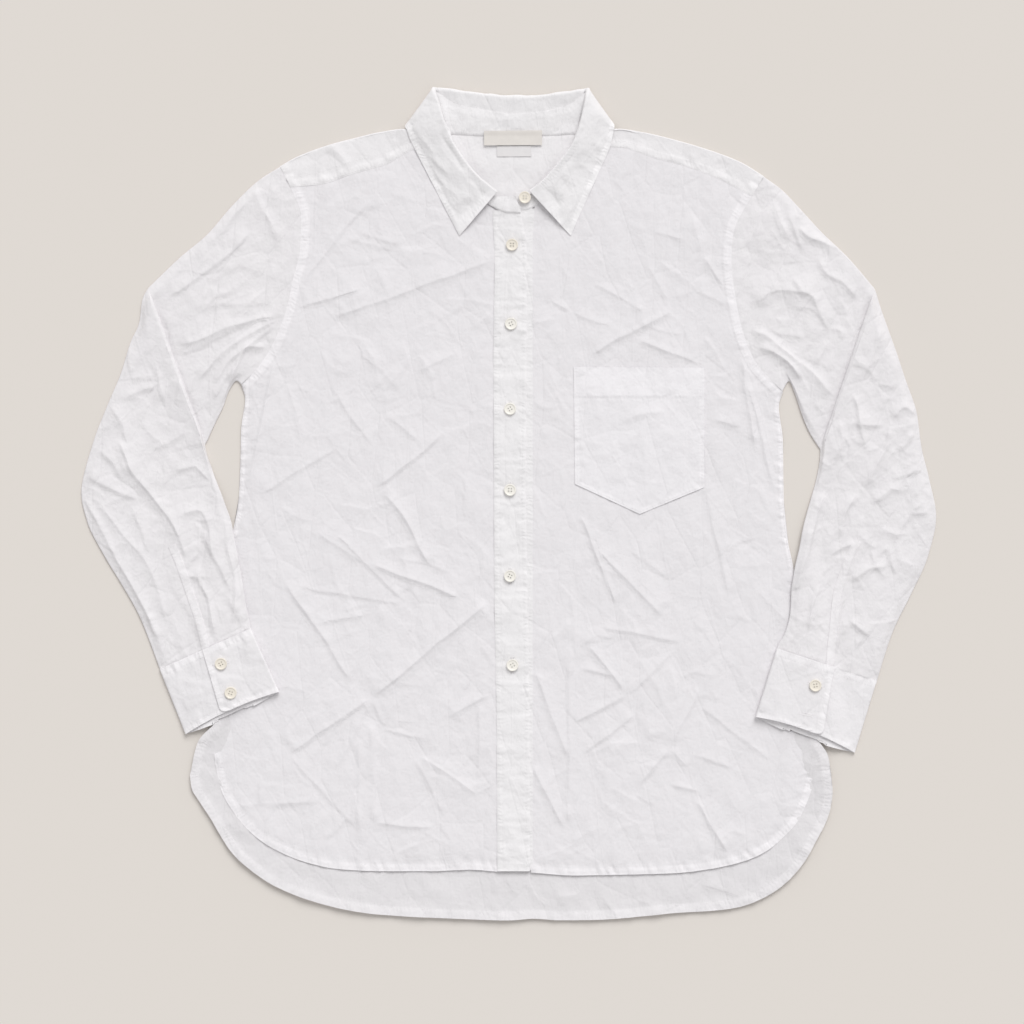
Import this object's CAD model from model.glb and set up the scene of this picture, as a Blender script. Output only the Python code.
"""Dresses the laid shirt: fine crumpled cloth on its plain solids, with seams, stitches, buttons and a stage.

Places are millimetres on the layout board of the part's source: `x` runs right across the board and `y` runs
down it from the collar to the hem. Heights are millimetres above the surface that the shirt lies on. Right and
left are the wearer's."""

import math

import bpy
import numpy as np
from bpy.props import FloatProperty, FloatVectorProperty, PointerProperty
from bpy.types import Operator, Panel, PropertyGroup
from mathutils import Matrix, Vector


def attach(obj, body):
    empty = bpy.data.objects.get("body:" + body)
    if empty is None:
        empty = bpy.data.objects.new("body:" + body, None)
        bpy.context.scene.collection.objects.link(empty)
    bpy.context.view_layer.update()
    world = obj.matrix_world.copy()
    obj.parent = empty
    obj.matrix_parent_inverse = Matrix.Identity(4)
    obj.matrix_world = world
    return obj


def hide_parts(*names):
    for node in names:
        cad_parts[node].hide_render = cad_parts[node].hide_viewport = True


bl_info = {
    "name": "Crumpled shirt",
    "version": (1, 0, 0),
    "blender": (4, 5, 0),
    "location": "3D View > Sidebar > Shirt",
    "description": "Builds a crumpled long-sleeved shirt, laid flat, with its stage",
    "category": "Mesh",
}

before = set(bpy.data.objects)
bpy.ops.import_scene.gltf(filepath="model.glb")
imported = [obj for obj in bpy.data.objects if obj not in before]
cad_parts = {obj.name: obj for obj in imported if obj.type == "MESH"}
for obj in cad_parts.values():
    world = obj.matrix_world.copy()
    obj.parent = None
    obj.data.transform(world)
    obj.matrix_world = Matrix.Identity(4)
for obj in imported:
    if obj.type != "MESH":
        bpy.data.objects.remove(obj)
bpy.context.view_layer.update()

MM = 0.001
BOARD = (508.75, 503.485)
BOARD_VIEW = (512.0, 512.0)
VIEW_WIDTH = 1.024

# Outlines on the board: across, down. Sides, armholes, vents and front necks run down. Hems and the back neck run
# from the wearer's right to the left. Shoulders and yoke seams run from the armhole to the neck.
ARMHOLE_RIGHT = [
    (280, 166), (294, 193), (302, 216), (301, 249), (294, 279), (288, 307), (278, 335), (265, 359), (252, 375),
    (241, 385),
]
ARMHOLE_LEFT = [
    (764, 176), (751, 196), (732, 236), (730.5, 260), (734, 294), (742, 332), (754, 361), (768, 378),
    (783, 392),
]
SIDE_RIGHT = [
    (241, 385), (245, 398), (241, 430), (240, 475), (238, 505), (232, 535), (224, 600), (216, 680), (213, 725),
]
SIDE_LEFT = [
    (783, 392), (779, 406), (783, 440), (784, 500), (787, 535), (793, 565), (801, 620), (812, 700), (818, 740),
]
VENT_FRONT_RIGHT = [(213, 725), (215, 763)]
VENT_FRONT_LEFT = [(818, 740), (818, 767)]
VENT_BACK_RIGHT = [(213, 725), (198, 742), (190, 775)]
VENT_BACK_LEFT = [(818, 740), (828, 756), (831, 775)]
HEM_FRONT_RIGHT = [
    (215, 763), (221, 790), (233, 811.5), (253, 834.5), (277, 850.5), (307, 862.5), (338, 869), (380, 871.2),
    (430, 871.2), (470, 869.8), (500.5, 872),
]
HEM_FRONT_LEFT = [
    (532.3, 872.5), (575, 875.5), (620, 874.8), (675, 873.2), (711, 869), (743.5, 861.6), (765.5, 852),
    (783.5, 837.5), (798, 821), (809, 798), (816, 774.5), (818, 767),
]
HEM_BACK = [
    (190.5, 775), (192, 788), (199, 800), (210, 816.5), (232, 852), (252.5, 871), (274.5, 885.5), (307, 899),
    (343.5, 909), (380, 914.5), (450, 918.3), (510, 920.2), (534, 918.6), (560, 920.2), (600, 919.6),
    (640, 916.4), (675, 912.9), (711, 910.8), (737, 907.5), (762, 898.5), (778, 889), (794.5, 874),
    (807, 857.5), (817, 839), (826, 822), (831, 806), (832.5, 792), (831, 775),
]
SHOULDER_RIGHT = [
    (280, 166), (298, 156), (331, 144), (354, 138), (379, 132), (404, 128.8), (430, 129.5), (447, 132),
]
SHOULDER_LEFT = [
    (764, 176), (741, 162), (710, 150), (669, 138), (643, 132), (618, 128.6), (600, 129), (579, 132),
]
YOKE_SEAM_RIGHT = [(294, 193), (323, 184), (350, 175), (387, 164), (414, 150), (434, 148), (452, 151)]
YOKE_SEAM_LEFT = [(751, 196), (723, 181), (691, 168), (653, 157.5), (620, 147.5), (596, 147), (574, 151)]
NECK_BACK = [
    (447, 132), (456, 133.5), (470, 134.6), (487, 135), (513, 135.2), (540, 135), (558, 134.4), (570, 133.3),
    (579, 132),
]
NECK_FRONT_RIGHT = [(452, 151), (457, 166), (466, 183), (478, 198), (490, 208), (500.5, 212)]
NECK_FRONT_LEFT = [(574, 151), (569, 167), (560, 183), (549, 197), (542, 203), (535.5, 207.5)]
CENTRE_RIGHT = [(500.5, 212), (500.5, 872)]
CENTRE_LEFT = [(534.2, 207.5), (531, 240), (531, 872.5)]
ARMHOLE_SHARE_FRONT, ARMHOLE_SHARE_BACK = 0.1, 0.3
# How far the front passes its armhole seam, and how high its side seam lies
OVER_SEAM, SEAM_HEIGHT = 0.9, 1.45

# The buttonhole band and the band under it: down, left edge, right edge
PLACKET = [
    (210.5, 492.2, 520.5), (240, 494.2, 526), (260, 494.8, 526.8), (356, 493.4, 526.4), (480, 494, 525.4),
    (600, 494.4, 527.5), (720, 496.8, 529.5), (871, 497.3, 530),
]
STAND_BAND = [(208.5, 501.2, 534.6), (240, 501.2, 532.7), (560, 501.2, 532.7), (870, 501.2, 532.7)]
PLACKET_TOP, STAND_BAND_TOP = 4.8, 3.75
# How far the buttonhole band's stitch lines are from its left and its right edge
PLACKET_LINES = (5.4, 4.2)
# The pocket from its upper left corner round to its lower left one
POCKET = [(573.7, 367), (704.2, 367.7), (704.2, 487.3), (639.7, 514), (575, 484)]
POCKET_HEM_DOWN = 397.3
POCKET_STITCHES = [(576.7, 369.0), (577.3, 483.0), (639.7, 511.6), (702.6, 486.0), (702.7, 369.0)]

# Heights of the cloth's face: a front, its side edge, the back's inner face, and the least that a front has
FRONT_SKIN, SIDE_SKIN, BACK_SKIN = 3.4, 2.4, 0.8
SKIN_FLOOR = 1.8
# Widths of the sewn edges, how far a stitch line is from a band's edge, and the pitch of the puckers
SEAM_WIDTH, SIDE_WIDTH, HEM_WIDTH, BACK_HEM_WIDTH = 7.8, 5.0, 7.8, 9.2
STITCH_INSET, PUCKER_PITCH = 1.2, 4.2
# A front's sewn edges: width of the band, rise, seed, pucker, pitch of the puckers
FRONT_BANDS = {
    "side": (SIDE_WIDTH, 0.5, 5, 0.7, 4.4), "armhole": (SEAM_WIDTH, 0.6, 6, 0.5, 4.4),
    "hem": (HEM_WIDTH, 0.55, 7, 0.9, PUCKER_PITCH),
}
# How strong a front's even crumple, its own creases and its chance creases are
FRONT_CRUMPLE, FRONT_CREASES, FRONT_SCATTER = 0.5, 0.85, 1.15
# Thickness of the pieces that aren't a single layer of the body's cloth
YOKE_WALL, SLEEVE_WALL, CUFF_WALL, BAND_WALL, POCKET_WALL, LABEL_WALL = 0.6, 0.55, 0.9, 0.8, 0.5, 0.35
# Places down, and how far in from the side the sleeves and cuffs cover the fronts there
UNDER_SLEEVE = (480, 560, 690, 745, 765), (6, 30, 62, 62, 6)
BAND_MIDDLE, BAND_HALF = 513, 17

# Stitches: pitch along a row, then length, width and rise of each; a buttonhole's, and how far beside its slit
STITCH_PITCH, STITCH_SIZE = 3.1, (2.1, 0.5, 0.2)
SLIT_PITCH, SLIT_SIZE, SLIT_ASIDE = 0.62, (1.3, 0.55, 0.28), 0.95
SLIT_LENGTH = 16.5
# Cells of a laid sheet's upper face to one cell of its under face
COARSE = 3
# A distance that stands for "nowhere near", and how far from a seam its place is worked out
FAR, LINE_REACH = 1e3, 22

# Sleeve rings: outer edge across, down, inner edge across, down, bow towards the body
RINGS_RIGHT = [
    (280, 166, 241, 385, 1.0), (258, 180, 235.5, 380.5, 0.65), (232, 205, 229, 389, 0.38),
    (206, 235, 222.5, 407, 0.2), (180, 257, 214, 425, 0.08), (153, 283, 207, 441, 0), (148, 288, 205, 445, 0),
    (142, 300, 207, 455, 0), (139, 322, 211, 466, 0), (130, 343, 214, 475, 0), (121, 372, 218, 485, 0),
    (106, 408, 222, 495, 0), (92, 445, 226, 506, 0), (81, 492, 231, 520, 0), (87, 522, 235, 540, 0),
    (104, 556, 239, 560, 0), (121, 584, 243, 583, 0), (139, 616, 246.5, 605, 0), (158, 665, 250.8, 626, 0),
    (160.5, 671.5, 251.8, 630.5, 0),
]
RINGS_LEFT = [
    (764, 176, 783, 392, 1.0), (782, 189, 790, 381, 0.65), (802, 210, 795.5, 393, 0.38),
    (824, 234, 802.5, 415, 0.2), (847, 256, 809.5, 432, 0.08), (871, 284, 818, 446, 0),
    (875, 289, 820.5, 450, 0), (880, 305, 820, 459, 0), (887, 325, 818.5, 469, 0), (896, 350, 816, 481, 0),
    (906, 380, 812, 495, 0), (917, 413, 807, 512, 0), (922, 448, 802.5, 529, 0), (930, 481, 799, 548, 0),
    (936.5, 517, 794, 570, 0), (928, 557, 791, 592, 0), (911, 595, 790, 612, 0), (893, 632, 785, 632, 0),
    (878.4, 677, 777.6, 645.5, 0), (876.4, 684, 776, 651.5, 0),
]
# The ring at the elbow's fold, the cloth's dip before it and its rise after it, and the rings' spacing after it
# and before it
ELBOW_RING, ELBOW_DIP, ELBOW_RISE, ELBOW_SPACING = 6, 2.6, 3.8, (13, 6)
# The elbow's fold, layer under layer: way towards the cuff, height
ELBOW_FOLD = [
    (0.2, -2.0), (1.6, -1.9), (2.0, -1.4), (1.4, -0.9), (0.2, -0.4), (-0.7, 0.2), (-0.9, 1.0), (-0.5, 1.9),
    (0.4, 2.6), (1.8, 3.8),
]
SLEEVE_DEPTH = (3.4, 4.4)
CLIMB, CLIMB_REACH, CLIMB_RUN, CLIMB_DOWN = 3.9, 13.0, 22.0, (425, 470)

SLEEVE_PLACKET_RIGHT = [(172, 545), (178.5, 560), (191.5, 597), (200, 622), (204.7, 641), (207.5, 654)]
SLEEVE_PLACKET_LEFT = [(857, 541), (848.5, 560), (836.5, 597), (832.7, 632), (830.5, 650), (829.2, 668)]
CUFF_RIGHT = {
    "seam": [(159.5, 669.5), (251.3, 628)], "hem": [(185.3, 734.3), (279.6, 691.4)], "overlap": (0.475, 0.4),
    "mouth": (3.8, 3.2), "heights": (4.0, 5.6),
}
CUFF_LEFT = {
    "seam": [(877, 680.5), (776.4, 648)], "hem": [(855, 752.9), (755, 716.4)], "overlap": (0.43, 0.345),
    "mouth": (5, 3.8), "heights": (4.0, 6.3),
}
# Columns of a cuff's upper lap
LAP_COLUMNS = 48
# The left cuff's hole that has no button: across, down, heading, length
SPARE_HOLE = (804.8, 713.8, 0.24, 15)

# Collar stand, from the right band's end round the back to the left: neck and top, each across, down, height
STAND = [
    (520.5, 212, 6.4, 520.8, 208.4, 6.8), (508, 212, 6.4, 512, 196.5, 7.6),
    (494, 206.6, 6.0, 498.0, 196.6, 6.4), (480, 196.6, 5.0, 485.5, 187.4, 6.6),
    (468.2, 181.8, 4.6, 474.2, 176.1, 8.8), (459.4, 165, 4.5, 462.1, 161.1, 9.4),
    (454.2, 148.5, 4.4, 452, 145.3, 9.8), (451.2, 139, 4.2, 444.1, 128.8, 9.8),
    (449.9, 132.6, 3.4, 435.4, 91.2, 8.2), (459, 133, 2.8, 458, 105, 8.2), (475, 134.2, 2.8, 476, 108.8, 10.0),
    (495, 134.7, 2.8, 497, 112.6, 11.2), (515, 134.8, 2.8, 516, 114, 11.4), (536, 134.7, 2.8, 538, 112.6, 11.2),
    (556, 134, 2.8, 557, 108.8, 10.0), (568, 133, 2.8, 569, 105, 8.2), (576.1, 132.6, 3.4, 586.4, 92, 8.2),
    (574.9, 139, 4.2, 581.8, 126, 9.8), (571.8, 149.5, 4.4, 576, 142.5, 9.8),
    (566.7, 165.2, 4.5, 564.9, 158.8, 9.4), (557.8, 180.8, 4.6, 553.7, 172.8, 8.6),
    (547, 194.6, 4.4, 542.9, 184.3, 6.8), (537, 203.8, 4.3, 531, 193.6, 5.0),
    (525, 209.6, 4.3, 518, 194.6, 5.2), (512, 210, 4.3, 508, 197.4, 4.9),
]

# Where the stand shows its two upper corners, and how high it reaches behind the neck and at those corners
STAND_CORNERS = (436, 92), (586, 92)
STAND_BACK_TOP, STAND_CORNER_TOP = 5.1, 8.2

# Collar fall: roll across, down, height, seam across, down, height, edge across, down, height, radius, turn.
# Where the seam is given as 0, it hangs under the roll.
FALL = [
    (497.7, 192, 11.2, 0, 0, 0, 459.5, 235.8, 4.6, 1.9, 90),
    (488, 184.5, 12.6, 0, 0, 0, 447.5, 213, 4.6, 1.9, 90), (477, 175, 13.4, 0, 0, 0, 436, 190.5, 4.6, 1.9, 90),
    (465, 160.5, 14, 0, 0, 0, 425, 169, 4.6, 1.9, 90), (455, 145, 14.4, 0, 0, 0, 415, 149.5, 4.7, 1.9, 90),
    (447, 128, 14.4, 0, 0, 0, 409.5, 138, 5.8, 1.9, 80),
    (439.8, 105, 14.2, 0, 0, 0, 406.8, 130.2, 6.0, 2.0, 66),
    (436, 94, 13.2, 0, 0, 0, 405.2, 127.4, 5.0, 2.1, 38), (433.8, 88, 10.8, 0, 0, 0, 405.2, 125.4, 4.0, 2.4, 0),
    (436.4, 88.2, 8.4, 440.2, 98.4, 5.8, 407.2, 126.6, 1.9, 2.6, -36),
    (443.5, 88.5, 8.0, 448, 102.2, 5.2, 413.5, 129.2, 0, 2.9, -66),
    (458, 90, 8.0, 460, 106.5, 5.2, 438, 141, 0, 3.2, -85),
    (478, 92.4, 8.2, 478, 110.2, 5.5, 464, 145, 0, 3.2, -90),
    (503, 95, 8.4, 504, 114.2, 5.7, 497, 146.5, 0, 3.2, -90),
    (529, 95.7, 8.4, 530, 114, 5.7, 530, 146.5, 0, 3.2, -90),
    (552, 93.2, 8.2, 552, 110.2, 5.5, 560, 145, 0, 3.2, -90),
    (566, 91.2, 8.0, 565, 106.5, 5.2, 585, 140, 0, 3.2, -85),
    (578.6, 89.7, 8.0, 575, 103, 5.2, 605.5, 128.5, 0, 2.9, -66),
    (585.2, 89.2, 8.4, 582, 99.4, 5.8, 612.2, 126, 1.9, 2.6, -36),
    (587.8, 89, 10.8, 0, 0, 0, 614.2, 124.4, 4.0, 2.4, 0),
    (585.8, 95, 13.2, 0, 0, 0, 614.4, 126.8, 5.0, 2.1, 38),
    (583.4, 106, 14.2, 0, 0, 0, 613.8, 129.6, 6.0, 2.0, 66),
    (579, 125, 14.4, 0, 0, 0, 612.4, 137, 5.8, 1.9, 80), (573, 142, 14.4, 0, 0, 0, 609.5, 148, 4.7, 1.9, 90),
    (562, 158, 14, 0, 0, 0, 600.5, 168.5, 4.6, 1.9, 90), (551, 171.5, 13.2, 0, 0, 0, 591, 190, 4.6, 1.9, 90),
    (540.5, 182.5, 12, 0, 0, 0, 581, 212, 4.6, 1.9, 90), (529, 191, 10.2, 0, 0, 0, 570.7, 235.8, 4.6, 1.9, 90),
]

# The leaf's stitch line: how far in it runs, and the leaf's usual length from roll to edge
LEAF_LINE, LEAF_LENGTH = 6.4, 48

LABELS = {
    "label_main": [(484, 131.2), (542, 130.6), (542, 145.2), (484, 145.6)],
    "label_size": [(497, 146), (531, 145.8), (531, 156.4), (497, 156.6)],
}

# Buttons: node, across, down, height of the cloth under it, darker finish
BUTTONS = [
    ("button_collar", 524.8, 197.9, 6.4, 1), ("button_front_1", 512, 245, 5.2, 1),
    ("button_front_2", 511, 324, 5.2, 0), ("button_front_3", 510, 409, 5.2, 0),
    ("button_front_4", 510, 490, 5.2, 0), ("button_front_5", 510, 576, 5.2, 0),
    ("button_front_6", 512.5, 665, 5.2, 0), ("button_cuff_right_1", 221.7, 663.4, 9.9, 1),
    ("button_cuff_right_2", 231.4, 692.4, 9.9, 1), ("button_cuff_left_1", 814.5, 685, 10.5, 1),
]

# Shares of a button's radius: its rim, the rim's inner slope, a hole and how far out the holes are; and of its
# height, how deep its middle is dished
RIM, RIM_SLOPE, DRILL, DRILL_REACH = 0.2, 0.06, 0.1, 0.22
DISH = 0.24

# Main creases, walked from point to point: steep side's run, gentle side's run, rise, then across and down for
# each point. The steep side is on the walker's right hand, or on the left where its run is negative.
CREASES_FRONT = [
    (11, 45, 2.0, 372, 697, 490, 601), (5.5, 32, 1.4, 287, 755, 372, 696), (4, 18, 0.9, 334, 772, 372, 697),
    (5, 14, 0.9, 372, 697, 385, 728), (4.5, 18, 0.9, 383, 728, 430, 740), (7, 14, 1.0, 359, 734, 358, 833),
    (-8, 12, 1.3, 372, 720, 374, 826), (7, 20, 1.4, 370, 563, 461, 598),
    (9, 20, 1.8, 383, 494, 403, 515, 419, 544, 431, 568), (3.5, 25, 0.9, 334, 533, 406, 602),
    (8, 22, 0.9, 314, 532, 365, 564), (6, 26, 1.3, 284, 580, 352, 682), (4, 14, 0.7, 312, 626, 372, 612),
    (3.5, 18, 0.6, 298, 586, 406, 605), (-5, 12, 0.7, 410, 605, 412, 650), (6, 26, 1.1, 444, 720, 493, 692),
    (-13, 22, 1.5, 420, 754, 478, 794), (4, 20, 0.8, 415, 756, 446, 818), (6, 14, 0.9, 480, 703, 478, 780),
    (5, 16, 0.9, 269, 804, 322, 802), (6, 16, 1.1, 372, 824, 434, 828), (3.5, 20, 0.7, 288, 755, 358, 830),
    (5, 18, 0.8, 463, 696, 490, 602), (5, 18, 1.0, 294, 308, 365, 289), (9, 40, 1.2, 334, 318, 492, 260),
    (3.5, 22, 0.8, 300, 286, 370, 198), (6, 16, 0.8, 353, 231, 403, 246), (6, 14, 0.7, 415, 374, 461, 351),
    (4, 22, 1.3, 376, 488, 446, 432), (4, 18, 0.8, 259, 495, 338, 447), (4, 16, 0.9, 334, 390, 372, 448),
    (7, 14, 0.8, 386, 414, 420, 444), (-4, 10, 0.6, 403, 339, 410, 370), (4, 14, 0.7, 286, 380, 304, 447),
    (8, 16, 1.6, 278, 346, 245, 498), (7, 26, 1.5, 589, 355, 673, 310), (9, 22, 1.3, 637, 339, 702, 366),
    (4, 12, 0.8, 550, 301, 570, 312), (3.5, 14, 0.6, 570, 312, 615, 327), (8, 24, 0.9, 591, 282, 649, 313),
    (5, 14, 0.9, 651, 231, 687, 240), (-9, 16, 1.3, 692, 212, 702, 255), (8, 20, 1.3, 702, 255, 728, 291),
    (3.5, 10, 0.6, 675, 297, 694, 290), (6, 14, 0.8, 694, 290, 728, 306), (7, 12, 1.5, 741, 349, 754, 447),
    (5, 12, 1.2, 747, 380, 776, 495), (8, 12, 1.0, 714, 420, 740, 428), (6, 24, 1.4, 579, 512, 617, 606),
    (7, 24, 1.2, 597, 548, 664, 618), (8, 20, 1.2, 588, 644, 628, 694), (5, 12, 0.9, 579, 668, 617, 677),
    (5, 24, 1.1, 570, 724, 628, 696), (3.5, 20, 0.8, 628, 696, 676, 650), (3.5, 14, 0.6, 570, 583, 578, 662),
    (3.5, 18, 0.8, 569, 660, 569, 826), (7, 18, 1.2, 535, 671, 569, 759), (9, 16, 1.4, 532, 762, 565, 829),
    (4, 18, 0.8, 600, 627, 682, 641), (-6, 12, 0.9, 670, 662, 678, 703), (4, 26, 1.2, 638, 788, 670, 747),
    (8, 14, 0.9, 670, 747, 688, 768), (9, 24, 1.4, 670, 747, 702, 685), (5, 20, 0.8, 688, 753, 735, 769),
    (8, 16, 1.6, 694, 797, 729, 853), (3.5, 12, 0.6, 635, 794, 653, 806), (5, 12, 1.0, 670, 785, 700, 791),
    (4, 24, 1.0, 582, 756, 638, 712), (8, 18, 1.5, 755, 588, 790, 624), (3.5, 24, 1.0, 705, 486, 729, 597),
    (3.5, 22, 0.7, 699, 706, 773, 762),
]
CREASES_YOKE = [
    (9, 9, -1.6, 330, 148, 322, 180), (5, 8, 1.0, 396, 136, 385, 163), (6, 10, 1.2, 330, 146, 352, 170),
    (6, 9, 1.0, 690, 152, 700, 172), (6, 10, -1.2, 722, 158, 716, 180),
]
CREASES_SLEEVE = [
    (3.5, 18, 1.4, 168, 297, 192, 283, 215, 265, 235, 248, 250, 231),
    (-6, 16, 1.2, 250, 196, 243, 206, 232, 218, 222, 238),
    (-12, 14, 1.8, 254, 184, 258, 200, 268, 218, 281, 244), (-5, 12, 0.8, 265, 208, 277, 185),
    (-3, 16, 0.5, 285, 282, 230, 263), (3.5, 14, 0.7, 205, 308, 240, 305, 275, 303),
    (-8, 16, 2.0, 281, 316, 265, 317, 235, 325, 190, 342, 178, 345),
    (-8, 14, 1.9, 280, 318, 252, 332, 228, 348, 208, 367, 198, 381),
    (-6, 12, 1.7, 279, 322, 252, 342, 228, 362, 214, 384), (-9, 8, 2.2, 270, 346, 248, 346, 238, 362, 228, 384),
    (5, 12, 0.9, 178, 355, 215, 338, 251, 320), (-4, 8, 1.0, 240, 364, 222, 380, 214, 402),
    (5, 9, 1.1, 131, 345, 128, 360, 133, 375), (4, 14, 1.2, 127, 381, 142, 379, 158, 376),
    (6, 12, 1.5, 122, 400, 141, 391, 159, 384), (-6, 12, 1.2, 157, 360, 161, 385, 168, 406),
    (9, 16, 1.6, 108, 404, 124, 425, 128, 446),
    (12, 25, 2.6, 119, 438, 130, 469, 146, 488, 161, 506, 174, 526, 182, 543, 188, 560),
    (5, 18, 1.5, 86, 477, 106, 486, 124, 495, 140, 501),
    (7, 10, 1.5, 182, 520, 187, 512, 198, 510, 206, 520, 210, 537, 213, 558),
    (4, 14, 1.3, 223, 512, 227, 537, 230, 552, 236, 583, 235, 614, 233, 627),
    (-3, 6, 1.2, 236, 545, 243, 590, 246, 622), (5, 12, 1.2, 201, 526, 209, 546, 223, 571, 230, 591),
    (7, 7, 1.4, 197, 560, 200, 583, 208, 600, 216, 636),
    (3, 7, 1.2, 83, 496, 101, 529, 121, 568, 142, 603, 157, 640),
    (10, 12, 1.2, 98, 500, 121, 532, 142, 554, 158, 590, 167, 623), (6, 8, 1.2, 146, 612, 160, 640),
    (7, 16, 1.4, 96, 447, 112, 462, 124, 482), (5, 12, 1.0, 150, 452, 172, 441, 192, 430),
    (4, 12, 0.9, 130, 505, 143, 530, 150, 556), (6, 12, 1.2, 170, 470, 196, 466, 212, 482),
    (5, 14, 1.2, 755, 193, 767, 186, 782, 184), (-10, 18, 1.7, 742, 250, 761, 227, 771, 204),
    (-7, 14, 1.5, 773, 200, 779, 222, 791, 242), (7, 12, 1.5, 786, 208, 795, 232, 803, 255),
    (9, 12, 2.0, 797, 224, 808, 237, 825, 243, 840, 250, 858, 268, 873, 288),
    (6, 14, 1.6, 817, 255, 826, 274, 842, 283, 860, 301), (14, 24, 2.1, 752, 306, 778, 290, 806, 292, 822, 305),
    (5, 12, 1.1, 792, 276, 807, 298), (5, 14, 1.2, 810, 291, 825, 323, 832, 333),
    (6, 12, 1.0, 812, 366, 832, 340), (5, 5, 0.9, 831, 333, 837, 329, 842, 334, 840, 341),
    (-8, 14, 1.6, 748, 330, 763, 334, 780, 346, 798, 360, 815, 374, 836, 397),
    (10, 10, 2.2, 754, 346, 773, 352, 790, 364, 802, 382), (6, 14, 1.2, 881, 326, 878, 341, 870, 359, 864, 377),
    (6, 10, 1.5, 852, 392, 857, 405, 860, 428, 866, 450), (8, 16, 1.0, 876, 384, 898, 386),
    (8, 10, 1.8, 892, 422, 898, 411, 906, 407, 918, 417),
    (9, 14, 2.0, 891, 424, 889, 438, 884, 452, 873, 470, 865, 490), (5, 10, 1.4, 900, 452, 915, 433),
    (4, 14, 1.0, 888, 479, 924, 468), (5, 14, 1.2, 850, 424, 886, 426),
    (8, 16, 1.9, 795, 597, 804, 560, 812, 530, 826, 490), (7, 14, 1.6, 838, 540, 846, 512, 858, 491),
    (5, 14, 1.2, 829, 556, 843, 547, 857, 542), (6, 16, 1.5, 849, 584, 869, 569, 889, 566),
    (4, 10, 1.1, 876, 558, 886, 549, 890, 563, 896, 576), (4, 12, 1.0, 893, 545, 912, 510, 925, 500),
    (6, 12, 1.1, 908, 514, 930, 512), (6, 14, 1.7, 850, 620, 860, 629, 871, 638),
    (-5, 12, 1.5, 806, 634, 812, 606, 822, 580), (3, 9, 1.3, 836, 655, 841, 610, 849, 567, 856, 543, 865, 512),
    (7, 14, 1.4, 834, 462, 842, 440, 838, 418), (6, 14, 1.3, 872, 505, 890, 488, 905, 492),
]
CREASES_COLLAR = [
    (7, 6, -1.3, 439, 133, 446, 146, 456, 161, 466, 176), (6, 6, -0.7, 466, 176, 478, 188, 484, 200),
    (5, 8, 1.0, 424, 152, 440, 168, 452, 176), (4, 8, 0.9, 432, 172, 448, 190, 462, 198),
    (5, 9, 1.0, 452, 214, 464, 200, 476, 196), (4, 7, 0.8, 420, 138, 430, 150, 436, 160),
    (7, 8, -1.5, 562, 210, 552, 195, 543, 187), (8, 9, -1.0, 574, 196, 566, 186, 560, 176),
    (5, 9, 0.9, 566, 218, 578, 200, 580, 186), (5, 8, 0.9, 573, 160, 590, 172, 596, 182),
    (6, 7, -0.9, 579, 140, 572, 156, 562, 170), (4, 8, 0.8, 590, 140, 602, 152, 604, 160),
]


def way_along(points):
    """The way to each point from the first, along the line through them."""
    return np.concatenate([[0.0], np.cumsum(np.linalg.norm(np.diff(points, axis=0), axis=1))])


def smooth(rows, fractions):
    """Points on a smooth curve through the rows, at fractions of its length; it never swings past a row."""
    points = np.array(rows, float)
    at = way_along(points)
    return through(points, at, np.asarray(fractions, float) * at[-1])


def through(points, at, want):
    """A curve through points that stand at the places `at`, read where wanted."""
    steps = np.diff(at)
    slopes = np.diff(points, axis=0) / steps[:, None]
    lean = np.vstack([slopes[:1], np.zeros_like(slopes[1:]), slopes[-1:]])
    before, after = slopes[:-1], slopes[1:]
    alike = before * after > 0
    lean[1:-1] = np.where(alike, 2 * before * after / np.where(alike, before + after, 1), 0)
    k = np.clip(np.searchsorted(at, want, "right") - 1, 0, len(steps) - 1)
    t = ((want - at[k]) / steps[k])[:, None]
    run = steps[k][:, None]
    return (
        (1 + 2 * t) * (1 - t) ** 2 * points[k]
        + t * (1 - t) ** 2 * run * lean[k]
        + t**2 * (3 - 2 * t) * points[k + 1]
        + t**2 * (t - 1) * run * lean[k + 1]
    )


def evenly(rows, cells):
    """The curve through the rows, cut into cells of like length."""
    return smooth(rows, np.linspace(0, 1, cells + 1))


def joined(*runs):
    """Runs of points end to end, each starting where the last one ends."""
    return np.vstack([runs[0]] + [run[1:] for run in runs[1:]])


def patch(left, right, top, bottom, shares=None):
    """A sheet's board points, rows down and columns across, filled in smoothly between its four edges. The
    shares say how far down each row lies, where they aren't even."""
    u = np.linspace(0, 1, len(top))[None, :, None]
    v = (np.linspace(0, 1, len(left)) if shares is None else shares)[:, None, None]
    between_sides = (1 - u) * left[:, None] + u * right[:, None]
    between_ends = (1 - v) * top[None] + v * bottom[None]
    corners = (1 - v) * ((1 - u) * top[0] + u * top[-1]) + v * ((1 - u) * bottom[0] + u * bottom[-1])
    return between_sides + between_ends - corners


def across_down(grid):
    """The places across and the places down of a grid of board points."""
    return grid[..., 0], grid[..., 1]


def turned_about(*grids):
    """Grids with their columns in the other order, so that their faces look the other way."""
    return [grid[:, ::-1] for grid in grids]


def with_height(flat, height):
    """Board points with their heights put beside them."""
    return np.concatenate([flat, np.broadcast_to(height, flat.shape[:-1])[..., None]], axis=-1)


def ease(share):
    """A soft step from 0 to 1."""
    share = np.clip(share, 0, 1)
    return share * share * (3 - 2 * share)


def bell(away, reach, power=2):
    """A soft hump: 1 where `away` is nothing, dying away over the reach."""
    return np.exp(-((away / reach) ** power))


def chance(i, j, seed):
    """A repeatable number from 0 to 1 for each whole place."""
    return np.modf(np.abs(np.sin(i * 12.9898 + j * 78.233 + seed * 37.719) * 43758.5453))[0]


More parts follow.
